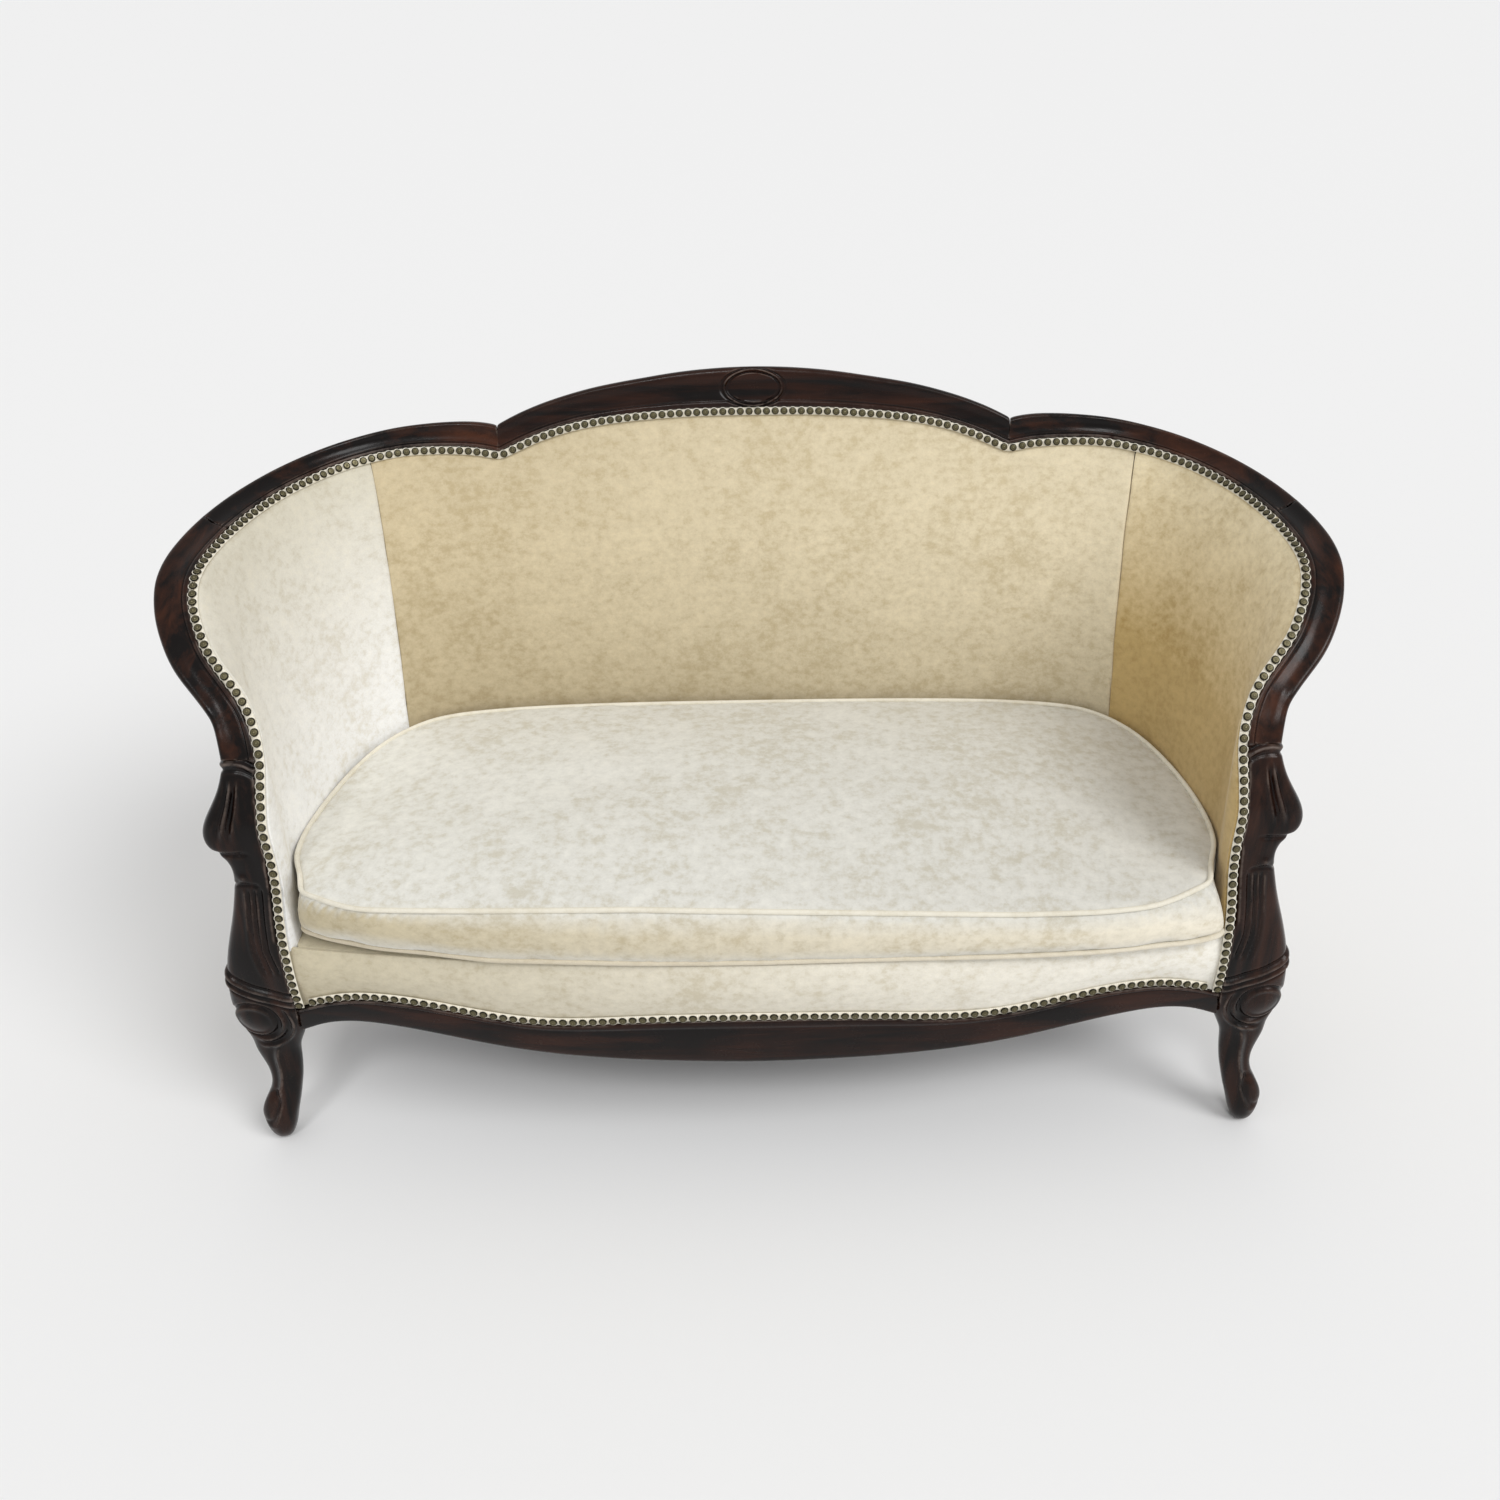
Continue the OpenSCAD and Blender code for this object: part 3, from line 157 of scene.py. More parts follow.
figure = math_node(grain, "ADD", math_node(grain, "MULTIPLY", bands, 0.6),
                   math_node(grain, "MULTIPLY", patches, 0.4))
color = blend_node(grain, ramp_node(grain, figure, 0.44, 0.68), entry.outputs["Dark"],
                   entry.outputs["Light"])
pores = math_node(grain, "MULTIPLY", ramp_node(grain, fibres, 0.3, 0.62), entry.outputs["Pores"])
grain.links.new(color, leave.inputs["Color"])
grain.links.new(figure, leave.inputs["Figure"])
grain.links.new(pores, leave.inputs["Height"])

def place_group(material, tree, values):
    g = material.node_tree.nodes.new("ShaderNodeGroup")
    g.node_tree = tree
    for key, v in values.items():
        g.inputs[key].default_value = v
    return g

def new_material(name):
    m = bpy.data.materials.new(name)
    m.use_nodes = True
    return m, m.node_tree, m.node_tree.nodes["Principled BSDF"]

def raise_surface(tree, shader, height, strength, distance):
    bump = tree.nodes.new("ShaderNodeBump")
    bump.inputs["Strength"].default_value = strength
    bump.inputs["Distance"].default_value = distance
    tree.links.new(height, bump.inputs["Height"])
    tree.links.new(bump.outputs["Normal"], shader.inputs["Normal"])

def polished_wood(name, along, light=(0.036, 0.0110, 0.0052)):
    stain, bare = (0.0030, 0.0015, 0.0012, 1), (0.085, 0.050, 0.034, 1)
    dust_and_highlight_grey, black = (0.19, 0.155, 0.135, 1), (0.002, 0.0012, 0.001, 1)
    m, tree, shader = new_material(name)
    g = place_group(m, grain, {"Dark": stain, "Light": light + (1,), "Along": along, "Pores": 0.35})
    wear_and_highlight = point_mask(tree, "wear_and_highlight")
    uneven = noise_node(tree, own_place(tree), 38, 5, 0.7)
    rubbed = math_node(tree, "MULTIPLY", ramp_node(tree, wear_and_highlight, 0.15, 0.8),
                       ramp_node(tree, uneven, 0.38, 0.68))
    # dust and painted highlight: a pale grey on the sharpest outward bends, where the ridges catch
    # the light
    dust_and_highlight = math_node(tree, "MULTIPLY", ramp_node(tree, wear_and_highlight, 0.40, 1.0),
                     ramp_node(tree, uneven, 0.36, 0.60))
    # painted shade: the inward bends, the grooves and hollows of the carving, are darkened nearly
    # to black
    deep = ramp_node(tree, point_mask(tree, "deep"), 0.15, 1.0)
    color = blend_node(tree, math_node(tree, "MULTIPLY", rubbed, 0.5), g.outputs["Color"], bare)
    color = blend_node(tree, math_node(tree, "MULTIPLY", dust_and_highlight, 0.55), color, dust_and_highlight_grey)
    color = blend_node(tree, math_node(tree, "MULTIPLY", deep, 0.9), color, black)
    tree.links.new(color, shader.inputs["Base Color"])
    rough = math_node(tree, "ADD", ramp_node(tree, uneven, 0.3, 0.7, 0.18, 0.30),
                      math_node(tree, "MULTIPLY", rubbed, 0.12))
    tree.links.new(rough, shader.inputs["Roughness"])
    shader.inputs["Specular IOR Level"].default_value = 0.21
    raise_surface(tree, shader, g.outputs["Height"], 0.25, 0.0006)
    return m

wood_across = polished_wood("mahogany_across", (1.2, 14, 14))
wood_deep = polished_wood("mahogany_front_to_back", (14, 1.2, 14), (0.056, 0.0175, 0.0075))
wood_curved = polished_wood("mahogany_shoulder", (5, 4, 14), (0.060, 0.0185, 0.0080))
wood_up = polished_wood("mahogany_upright", (14, 14, 1.2), (0.044, 0.0165, 0.0095))

def take_from_frame(node, name):
    bpy.ops.object.select_all(action="DESELECT")
    piece = bpy.data.objects.new(name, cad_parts[node].data.copy())
    bpy.context.scene.collection.objects.link(piece)
    piece.data.materials.clear()
    bpy.context.view_layer.objects.active = piece
    piece.select_set(True)
    if piece.data.has_custom_normals:
        bpy.ops.mesh.customdata_custom_splitnormals_clear()
    bpy.ops.object.mode_set(mode="EDIT")
    bpy.ops.mesh.select_all(action="SELECT")
    bpy.ops.mesh.remove_doubles(threshold=0.00002)
    bpy.ops.mesh.tris_convert_to_quads(face_threshold=math.pi, shape_threshold=math.pi)
    bpy.ops.object.mode_set(mode="OBJECT")
    return piece

def face_angles(mesh):
    mesh.update()
    count = len(mesh.edges)
    normals = np.zeros(len(mesh.polygons) * 3, np.float32)
    mesh.polygons.foreach_get("normal", normals)
    normals = normals.reshape(-1, 3)
    loop_edge = np.zeros(len(mesh.loops), np.int32)
    mesh.loops.foreach_get("edge_index", loop_edge)
    starts = np.zeros(len(mesh.polygons), np.int32)
    mesh.polygons.foreach_get("loop_start", starts)
    owner = np.searchsorted(starts, np.arange(len(loop_edge)), side="right") - 1
    first = np.full(count, -1)
    second = np.full(count, -1)
    first[loop_edge] = owner
    second[loop_edge[::-1]] = owner[::-1]
    dots = (normals[first] * normals[second]).sum(1)
    return np.degrees(np.arccos(np.clip(dots, -1, 1)))

def subdivide(piece, levels, crease_from, crease=1.0):
    # edges that bend by more than crease_from degrees stay sharp
    mesh = piece.data
    sharp = face_angles(mesh) > crease_from
    layer = mesh.attributes.new("crease_edge", "FLOAT", "EDGE")
    layer.data.foreach_set("value", (sharp * crease).astype(np.float32))
    smoother = piece.modifiers.new("smoother", "SUBSURF")
    smoother.levels = smoother.render_levels = levels
    bpy.context.view_layer.objects.active = piece
    bpy.ops.object.modifier_apply(modifier="smoother")

def points_of(piece):
    co = np.zeros(len(piece.data.vertices) * 3, np.float32)
    piece.data.vertices.foreach_get("co", co)
    return co.reshape(-1, 3)

def normals_of(piece):
    out = np.zeros(len(piece.data.vertices) * 3, np.float32)
    piece.data.vertices.foreach_get("normal", out)
    return out.reshape(-1, 3)

def move_points(piece, co):
    piece.data.vertices.foreach_set("co", np.ascontiguousarray(co, np.float32).ravel())
    piece.data.update()

def mark_wear_highlight_and_shade(piece, sharpest):
    # masks of outward bends, for wear and painted highlight, and of inward bends, for painted
    # shade, full where the surface curves by sharpest per metre
    mesh = piece.data
    co, nor = points_of(piece), normals_of(piece)
    ends = np.zeros(len(mesh.edges) * 2, np.int32)
    mesh.edges.foreach_get("vertices", ends)
    a, b = ends.reshape(-1, 2).T
    step = co[b] - co[a]
    size = np.maximum((step ** 2).sum(1), 1e-10)
    bend = ((nor[b] - nor[a]) * step).sum(1) / size
    total = np.zeros(len(co))
    count = np.zeros(len(co))
    for side in (a, b):
        np.add.at(total, side, bend)
        np.add.at(count, side, 1)
    curve = total / np.maximum(count, 1)
    for k in range(3):
        spread = np.zeros(len(co))
        np.add.at(spread, a, curve[b])
        np.add.at(spread, b, curve[a])
        curve = 0.5 * curve + 0.5 * spread / np.maximum(count, 1)
    for name, values in (("wear_and_highlight", curve / sharpest), ("deep", -curve / sharpest)):
        layer = mesh.attributes.new(name, "FLOAT", "POINT")
        layer.data.foreach_set("value", np.clip(values, 0, 1).astype(np.float32))

def dress(piece, body, material, slot, *nodes):
    piece.data.materials.clear()
    piece.data.materials.append(material)
    piece.data.polygons.foreach_set("use_smooth", [True] * len(piece.data.polygons))
    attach(piece, body)
    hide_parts(*nodes)

for node, name, material in (
        ("left_shoulder_rail", "left_shoulder_moulding", wood_curved),
        ("right_shoulder_rail", "right_shoulder_moulding", wood_curved),
        ("left_arm_rail", "left_arm_moulding", wood_deep),
        ("right_arm_rail", "right_arm_moulding", wood_deep),
        ("front_rail", "front_rail_moulding", wood_across)):
    rail = take_from_frame(node, name)
    subdivide(rail, 3, 62)
    mark_wear_highlight_and_shade(rail, 260)
    dress(rail, "frame", material, "show_wood", node)

# The crest rail carries one carved oval on its face, a bead between two fine grooves that
# runs out over the top edge.
def ridge(distance, width):
    return np.exp(-(distance / width) ** 2)

crest = take_from_frame("crest_rail", "crest_rail_moulding")
subdivide(crest, 3, 62)
bpy.ops.object.mode_set(mode="EDIT")
bpy.ops.mesh.select_all(action="DESELECT")
bpy.ops.object.mode_set(mode="OBJECT")
oval_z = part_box("crest_rail")[1][2] - 0.0295
oval_wide, oval_high = 0.0455, 0.0258
for face in crest.data.polygons:
    c = face.center
    face.select = (face.normal.y < -0.3
                   and (c.x / oval_wide) ** 2 + ((c.z - oval_z) / oval_high) ** 2 < 1.6)
bpy.ops.object.mode_set(mode="EDIT")
bpy.ops.mesh.subdivide(number_cuts=3)
bpy.ops.object.mode_set(mode="OBJECT")
co, nor = points_of(crest), normals_of(crest)
ring = np.hypot(co[:, 0] / oval_wide, (co[:, 2] - oval_z) / oval_high)
carved = (0.0024 * ridge(ring - 1, 0.045) - 0.0020 * ridge(ring - 0.89, 0.05)
          - 0.0018 * ridge(ring - 1.11, 0.05)) * np.clip(-nor[:, 1] * 2, 0, 1)
move_points(crest, co + nor * carved[:, None])
mark_wear_highlight_and_shade(crest, 260)
dress(crest, "frame", wood_across, "show_wood", "crest_rail")

# Each front leg is carved from one piece: rings and a scroll below the arm, a panel with
# three flutes, a slanting double band, an oval cartouche, and a ridged shank on a scroll toe.
def carve_leg(piece, sign):
    co, nor = points_of(piece), normals_of(piece)
    x, z = co[:, 0] * sign, co[:, 2]
    # u runs over the leg's face from its inner edge, 0, to its outer edge, 1
    rows = 90
    levels = np.linspace(z.min(), z.max(), rows)
    row = np.clip(np.searchsorted(levels, z), 1, rows - 1)
    inner = np.array([x[row == k].min() if (row == k).any() else np.nan for k in range(rows)])
    outer = np.array([x[row == k].max() if (row == k).any() else np.nan for k in range(rows)])
    known = ~np.isnan(inner)
    inner = np.interp(z, levels[known], inner[known])
    outer = np.interp(z, levels[known], outer[known])
    wide = outer - inner
    u = (x - inner) / np.maximum(wide, 1e-4)
    front = np.clip(-nor[:, 1] * 1.8 + 0.1, 0, 1)
    around = np.clip(front + np.clip(nor[:, 0] * sign, 0, 1), 0, 1)

    def between(low, high, soft=0.006):
        return np.clip((z - low) / soft, 0, 1) * np.clip((high - z) / soft, 0, 1)

    cut = np.zeros(len(z))
    # rings below the arm
    ring_z = 0.632 + 0.010 * np.sin(np.clip(u, 0, 1) * 2.6)
    for offset, depth in ((0.0065, 0.0019), (-0.0065, 0.0021), (0, -0.0017),
                          (0.0135, -0.0011), (-0.0135, -0.0015)):
        cut += depth * ridge(z - ring_z - offset, 0.0030) * around
    # folds of the scroll
    for line, depth, width in ((0.66, 0.0024, 0.040), (0.57, -0.0024, 0.036),
                               (0.48, 0.0022, 0.036), (0.76, -0.0016, 0.05)):
        sway = line - 0.09 * np.sin(np.clip((0.62 - z) / 0.10, 0, 1) * 3.1)
        cut += depth * ridge(u - sway, width) * between(0.535, 0.618, 0.02) * front
    # crease under the scroll, the neck and its bead
    crease = np.clip((u - 0.25) * 5, 0, 1) * around
    cut -= 0.0022 * ridge(z - 0.5165 - 0.004 * (1 - u), 0.0035) * crease
    cut += 0.0024 * ridge(z - 0.482, 0.006) * ridge((u - 0.66) * wide, 0.007) * front
    # panel with flutes
    panel_top = 0.466 + 0.006 * np.sin(np.clip((u - 0.2) / 0.8, 0, 1) * 3.14)
    cut -= 0.0016 * ridge(z - panel_top, 0.0030) * np.clip((u - 0.22) * 8, 0, 1) * around
    for top, middle, low in ((0.56, 0.415, 0.29), (0.42, 0.32, 0.195), (0.265, 0.21, 0.08)):
        line = np.interp(z, (0.322, 0.366, 0.466), (low, middle, top))
        flute = (u - line) * wide
        cut += (0.0010 * ridge(flute - 0.0052, 0.0024) - 0.0021 * ridge(flute, 0.0026)) \
            * between(0.322, 0.466, 0.008) * front
    # slanting double band
    band = 0.270 + 0.044 * np.clip(u, 0, 1) ** 1.2
    for offset, depth, width in ((0.0065, 0.0028, 0.0045), (-0.0065, 0.0028, 0.0045),
                                 (0, -0.0014, 0.0022), (0.0145, -0.0022, 0.0030),
                                 (-0.0145, -0.0024, 0.0030)):
        cut += depth * ridge(z - band - offset, width) * around
    # oval cartouche and the bands that cross under it
    oval = np.hypot((u - 0.66) * wide / 0.026, (z - 0.236) / 0.026)
    cut += (0.0034 * np.clip(1 - oval ** 2, 0, 1) + 0.0016 * ridge(oval - 1.0, 0.11)
            - 0.0024 * ridge(oval - 1.25, 0.10)) * front * between(0.195, 0.285, 0.006)
    lower = (np.clip((0.262 - z) / 0.02, 0, 1) * np.clip((0.80 - u) * 4, 0, 1)
             * between(0.165, 0.27, 0.01))
    for reach, depth in ((1.52, 0.0020), (1.78, -0.0018), (2.02, 0.0017)):
        cut += depth * ridge(oval - reach, 0.10) * lower * front
    # ridge down the shank
    spine = (u - np.interp(z, (0.07, 0.12, 0.20), (0.56, 0.54, 0.36))) * wide
    cut += (0.0024 * ridge(spine, 0.0042) - 0.0012 * ridge(spine - 0.009, 0.0045)) \
        * between(0.075, 0.195, 0.02) * front
    # knuckle of the toe, with a crease round its inner side
    knuckle = np.hypot((u - 0.84) * wide / 0.015, (z - 0.068) / 0.024)
    inward = np.clip((0.90 - u) * 5, 0, 1)
    cut += (0.0026 * np.clip(1 - knuckle ** 2, 0, 1) - 0.0017 * ridge(knuckle - 1.15, 0.20) * inward
            + 0.0008 * ridge(knuckle - 1.55, 0.22) * inward) * front * between(0.022, 0.105, 0.01)
    whole_depth = 1.35
    move_points(piece, co + nor * (cut * whole_depth)[:, None])

for side, sign in (("left", -1), ("right", 1)):
    leg = take_from_frame(f"{side}_front_leg", f"{side}_carved_leg")
    subdivide(leg, 3, 75)
    carve_leg(leg, sign)
    mark_wear_highlight_and_shade(leg, 170)
    dress(leg, "frame", wood_up, "show_wood", f"{side}_front_leg")

# The back legs are plain raked legs of the same stained wood, with eased edges; above the
# rails they run on as stiles inside the upholstery.
def eased(node, name, width, bend):
    piece = take_from_frame(node, name)
    rounder = piece.modifiers.new("eased", "BEVEL")
    rounder.width = width
    rounder.segments = 2
    rounder.limit_method = "ANGLE"
    rounder.angle_limit = math.radians(bend)
    bpy.ops.object.modifier_apply(modifier="eased")
    return piece

for side in ("left", "right"):
    leg = eased(f"{side}_back_leg", f"{side}_raked_leg", 0.002, 35)
    mark_wear_highlight_and_shade(leg, 4000)
    dress(leg, "frame", wood_up, "show_wood", f"{side}_back_leg")
    bpy.ops.object.select_all(action="DESELECT")
    leg.select_set(True)
    bpy.context.view_layer.objects.active = leg
    bpy.ops.object.shade_smooth_by_angle(angle=math.radians(40))

# The inner frame is planed beech, hidden by the upholstery: seat rails, stuffing rails,
# uprights, blocks and dowels. Screws and springs are bright steel.
def plain_wood(name, along):
    m, tree, shader = new_material(name)
    g = place_group(m, grain, {"Dark": (0.33, 0.19, 0.095, 1), "Light": (0.52, 0.34, 0.19, 1),
                               "Along": along, "Pores": 0.6})
    tree.links.new(g.outputs["Color"], shader.inputs["Base Color"])
    tree.links.new(ramp_node(tree, g.outputs["Figure"], 0.3, 0.7, 0.5, 0.65),
                   shader.inputs["Roughness"])
    raise_surface(tree, shader, g.outputs["Height"], 0.3, 0.0004)
    return m

beech_across = plain_wood("beech_across", (1.5, 16, 16))
beech_deep = plain_wood("beech_front_to_back", (16, 1.5, 16))
beech_up = plain_wood("beech_upright", (16, 16, 1.5))

def keep_node(node, material):
    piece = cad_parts[node]
    if not piece.material_slots:
        piece.data.materials.append(material)
    for s in piece.material_slots:
        s.link = "OBJECT"
        s.material = material

for node, material in (
        ("left_side_rail", beech_deep), ("right_side_rail", beech_deep),
        ("left_arm_stuffing_rail", beech_deep), ("right_arm_stuffing_rail", beech_deep),
        ("back_seat_rail", beech_across), ("back_stuffing_rail", beech_across),
        ("webbing_batten", beech_across), ("frame_dowels", beech_across),
        ("back_uprights", beech_up), ("corner_blocks", beech_up)):
    keep_node(node, material)

wire, wire_tree, wire_shader = new_material("spring_steel")
drawn = noise_node(wire_tree, own_place(wire_tree), 180, 4)
color = blend_node(wire_tree, drawn, (0.25, 0.25, 0.26, 1), (0.5, 0.5, 0.52, 1))
wire_tree.links.new(color, wire_shader.inputs["Base Color"])
wire_tree.links.new(ramp_node(wire_tree, drawn, 0.3, 0.7, 0.25, 0.5),
                    wire_shader.inputs["Roughness"])
wire_shader.inputs["Metallic"].default_value = 1
keep_node("seat_springs", wire)
keep_node("corner_block_screws", wire)

# Webbing and canvas of woven jute carry the springs and the padding; a thin black cloth
# is tacked under the seat against dust.
weave, entry, leave = group_sockets("plain_weave", [
    ("Thread", "NodeSocketColor", (0.5, 0.4, 0.25, 1)),
    ("Gap", "NodeSocketColor", (0.25, 0.18, 0.1, 1)), ("Count", "NodeSocketFloat", 900.0)],
    [("Color", "NodeSocketColor"), ("Height", "NodeSocketFloat")])
where = own_place(weave)
split = weave.nodes.new("ShaderNodeSeparateXYZ")
weave.links.new(where, split.inputs[0])
threads = []
for axis in range(3):
    turns = math_node(weave, "MULTIPLY", split.outputs[axis], entry.outputs["Count"])
    threads.append(math_node(weave, "SINE", turns, 0))
woven = math_node(weave, "ADD", math_node(weave, "MULTIPLY", threads[0], threads[1]),
                  math_node(weave, "MULTIPLY", threads[2], 0.5))
woven = ramp_node(weave, woven, -1, 1)
uneven = ramp_node(weave, noise_node(weave, where, 60, 4), 0.2, 0.8, 0.6, 1)
color = blend_node(weave, math_node(weave, "MULTIPLY", woven, uneven), entry.outputs["Gap"],
                   entry.outputs["Thread"])
weave.links.new(color, leave.inputs["Color"])
weave.links.new(woven, leave.inputs["Height"])

def woven_cloth(name, thread, gap, count, rough):
    m, tree, shader = new_material(name)
    g = place_group(m, weave, {"Thread": thread, "Gap": gap, "Count": count})
    tree.links.new(g.outputs["Color"], shader.inputs["Base Color"])
    tree.links.new(ramp_node(tree, g.outputs["Height"], 0, 1, rough + 0.05, rough - 0.05),
                   shader.inputs["Roughness"])
    raise_surface(tree, shader, g.outputs["Height"], 0.4, 0.0004)
    return m

jute = woven_cloth("woven_jute", (0.42, 0.3, 0.16, 1), (0.18, 0.115, 0.055, 1), 1400, 0.9)
cambric = woven_cloth("black_cambric", (0.022, 0.022, 0.025, 1), (0.006, 0.006, 0.007, 1), 3000,
                      0.85)

def flat_cloth(node, name, material, slot):
    piece = take_from_frame(node, name)
    dress(piece, "frame", material, slot, node)

flat_cloth("seat_webbing", "jute_webbing", jute, "jute")
flat_cloth("back_webbing", "jute_back_webbing", jute, "jute")
flat_cloth("spring_canvas", "spring_cloth", jute, "jute")
flat_cloth("dust_cover", "black_undercloth", cambric, "black_cloth")

# The padded back and arms are covered in cream velvet with a crushed nap, drawn over the
# stuffing to the wood's edge and sewn at the two corners of the back.
velvet, entry, leave = group_sockets("crushed_nap", [
    ("Cloth", "NodeSocketColor", (0.6, 0.5, 0.33, 1)),
    ("Bright", "NodeSocketColor", (0.75, 0.68, 0.52, 1)),
    ("Shade", "NodeSocketColor", (0.4, 0.32, 0.2, 1)), ("Crush", "NodeSocketFloat", 1.0)],
    [("Color", "NodeSocketColor"), ("Nap", "NodeSocketFloat"), ("Height", "NodeSocketFloat")])
where = own_place(velvet)
lay = velvet.nodes.new("ShaderNodeVectorMath")
lay.operation = "MULTIPLY"
lay.inputs[1].default_value = (1, 1, 1.35)
velvet.links.new(where, lay.inputs[0])
broad = noise_node(velvet, where, 3.2, 3, 0.5)
blotch = noise_node(velvet, where, 14, 6, 0.62)
crushed = noise_node(velvet, lay.outputs[0], 66, 6, 0.66)
pile = noise_node(velvet, where, 420, 3, 0.7)
nap = math_node(velvet, "ADD", math_node(velvet, "MULTIPLY", blotch, 0.30),
                math_node(velvet, "MULTIPLY", crushed, 0.52))
nap = math_node(velvet, "ADD", math_node(velvet, "MULTIPLY", broad, 0.18), nap)
lit = math_node(velvet, "MULTIPLY", ramp_node(velvet, nap, 0.50, 0.60), entry.outputs["Crush"])
shaded = math_node(velvet, "MULTIPLY", ramp_node(velvet, nap, 0.50, 0.40), entry.outputs["Crush"])
color = blend_node(velvet, lit, entry.outputs["Cloth"], entry.outputs["Bright"])
color = blend_node(velvet, shaded, color, entry.outputs["Shade"])
specks = blend_node(velvet, pile, (0, 0, 0, 1), (1, 1, 1, 1))
color = blend_node(velvet, 0.16, color, specks, "OVERLAY")
height = math_node(velvet, "ADD", math_node(velvet, "MULTIPLY", crushed, 0.7),
                   math_node(velvet, "MULTIPLY", pile, 0.3))
velvet.links.new(color, leave.inputs["Color"])
velvet.links.new(nap, leave.inputs["Nap"])
velvet.links.new(height, leave.inputs["Height"])

def velvet_cloth(name, cloth, crush, low=None, heights=(0.5, 0.8), side=None, painted_light_across=None):
    # the low tint is painted light and shade by height: it tints the cloth up to the first height
    # and fades out at the second; the tints across and on the side are painted light from left to
    # right, the side one only where the piece's side mask is
    m, tree, shader = new_material(name)
    bright = tuple(min(1, v * 1.10) for v in cloth)
    shade = (cloth[0] * 0.85, cloth[1] * 0.82, cloth[2] * 0.75)
    g = place_group(m, velvet, {"Cloth": cloth + (1,), "Bright": bright + (1,),
                                "Shade": shade + (1,), "Crush": crush})
    color = g.outputs["Color"]
    split = tree.nodes.new("ShaderNodeSeparateXYZ")
    tree.links.new(own_place(tree), split.inputs[0])
    rightward = ramp_node(tree, split.outputs[0], -0.6, 0.6)
    if painted_light_across:
        tint = blend_node(tree, rightward, painted_light_across[0] + (1,), painted_light_across[1] + (1,))
        color = blend_node(tree, 1.0, color, tint, "MULTIPLY")
    if low:
        drift = 0.25
        height = math_node(tree, "ADD", split.outputs[2],
                           math_node(tree, "MULTIPLY", g.outputs["Nap"], drift))
        risen = ramp_node(tree, height, heights[0] + drift / 2, heights[1] + drift / 2)
        tint = blend_node(tree, risen, low + (1,), (1, 1, 1, 1))
        color = blend_node(tree, 1.0, color, tint, "MULTIPLY")
    if side:
        tint = blend_node(tree, rightward, side[0] + (1,), side[1] + (1,))
        tinted = blend_node(tree, 1.0, color, tint, "MULTIPLY")
        color = blend_node(tree, point_mask(tree, "side"), color, tinted)
    # painted shade: inward bends and creases of the cloth are darkened towards a deep shade colour
    deep = math_node(tree, "MULTIPLY", ramp_node(tree, point_mask(tree, "deep"), 0.1, 1.0), 0.45)
    color = blend_node(tree, deep, color, tuple(v * 0.55 for v in shade) + (1,))
    tree.links.new(color, shader.inputs["Base Color"])
    tree.links.new(ramp_node(tree, g.outputs["Nap"], 0.35, 0.65, 0.92, 0.72),
                   shader.inputs["Roughness"])
    shader.inputs["Specular IOR Level"].default_value = 0.25
    shader.inputs["Sheen Weight"].default_value = 0.28
    shader.inputs["Sheen Roughness"].default_value = 0.45
    shader.inputs["Sheen Tint"].default_value = (1, 0.97, 0.9, 1)
    raise_surface(tree, shader, g.outputs["Height"], 0.35, 0.0009)
    return m

# painted shade and light: the back's cloth is darkened towards the seat and brightened from left to
# right; the outside back and arms share it
back_velvet_painted_light_and_shade = velvet_cloth("back_velvet_painted_light_and_shade", (0.645, 0.545, 0.355), 0.9, (0.76, 0.75, 0.73),
                           (0.44, 0.72), painted_light_across=((0.88, 0.87, 0.86), (1.15, 1.20, 1.32)))
# painted light and shade: the left arm's cloth is brightened low down, where the light falls on it,
# and the right arm's cloth is darkened and yellowed low down, where it lies in shade
left_velvet_painted_light = velvet_cloth("left_arm_velvet_painted_light", (0.605, 0.565, 0.452), 0.9, (1.46, 1.57, 1.96),
                           (0.46, 0.86))
right_velvet_painted_shade = velvet_cloth("right_arm_velvet_painted_shade", (0.84, 0.735, 0.51), 0.9, (0.61, 0.50, 0.305),
                            (0.58, 0.86))

def nail_places(nodes):
    # node, middle of the rim and outward axis of each nail head
    places = []
    for node in nodes:
        take_from_frame(node, "nail_row")
        bpy.ops.object.mode_set(mode="EDIT")
        bpy.ops.mesh.select_all(action="SELECT")
        bpy.ops.mesh.separate(type="LOOSE")
        bpy.ops.object.mode_set(mode="OBJECT")
        for head in list(bpy.context.selected_objects):
            co = points_of(head).astype(float)
            middle = co.mean(0)
            _, _, axes = np.linalg.svd(co - middle)
            axis = axes[2]
            rise = (co - middle) @ axis
            rim = np.linalg.norm((co - middle) - np.outer(rise, axis), axis=1)
            if rise[rim > rim.max() * 0.9].mean() > rise[rim < rim.max() * 0.3].mean():
                axis = -axis
            places.append((node, co[rim > rim.max() * 0.93].mean(0), axis))
            bpy.data.objects.remove(head, do_unlink=True)
    return places

edge_nodes = [f"{side}_{run}_nails" for side in ("left", "right")
              for run in ("crest", "shoulder", "arm", "leg")]
front_nodes = ["left_front_nails", "middle_front_nails", "right_front_nails"]
nails = nail_places(edge_nodes + front_nodes)
nail_tree = KDTree(len(nails))
for i, (_, place, _) in enumerate(nails):
    nail_tree.insert(Vector(place), i)
nail_tree.balance()

def tuck_at_nails(piece, reach, depth):
    co, nor = points_of(piece), normals_of(piece)
    for i, p in enumerate(co):
        _, _, far = nail_tree.find(Vector(p))
        if far < reach * 3:
            co[i] -= nor[i] * depth * math.exp(-(far / reach) ** 2)
    move_points(piece, co)

def soften(piece, size, amount, seed):
    co, nor = points_of(piece), normals_of(piece)
    lift = np.array([noise.noise(Vector((x * size + seed, y * size, z * size))) for x, y, z in co])
    move_points(piece, co + nor * (lift * amount)[:, None])

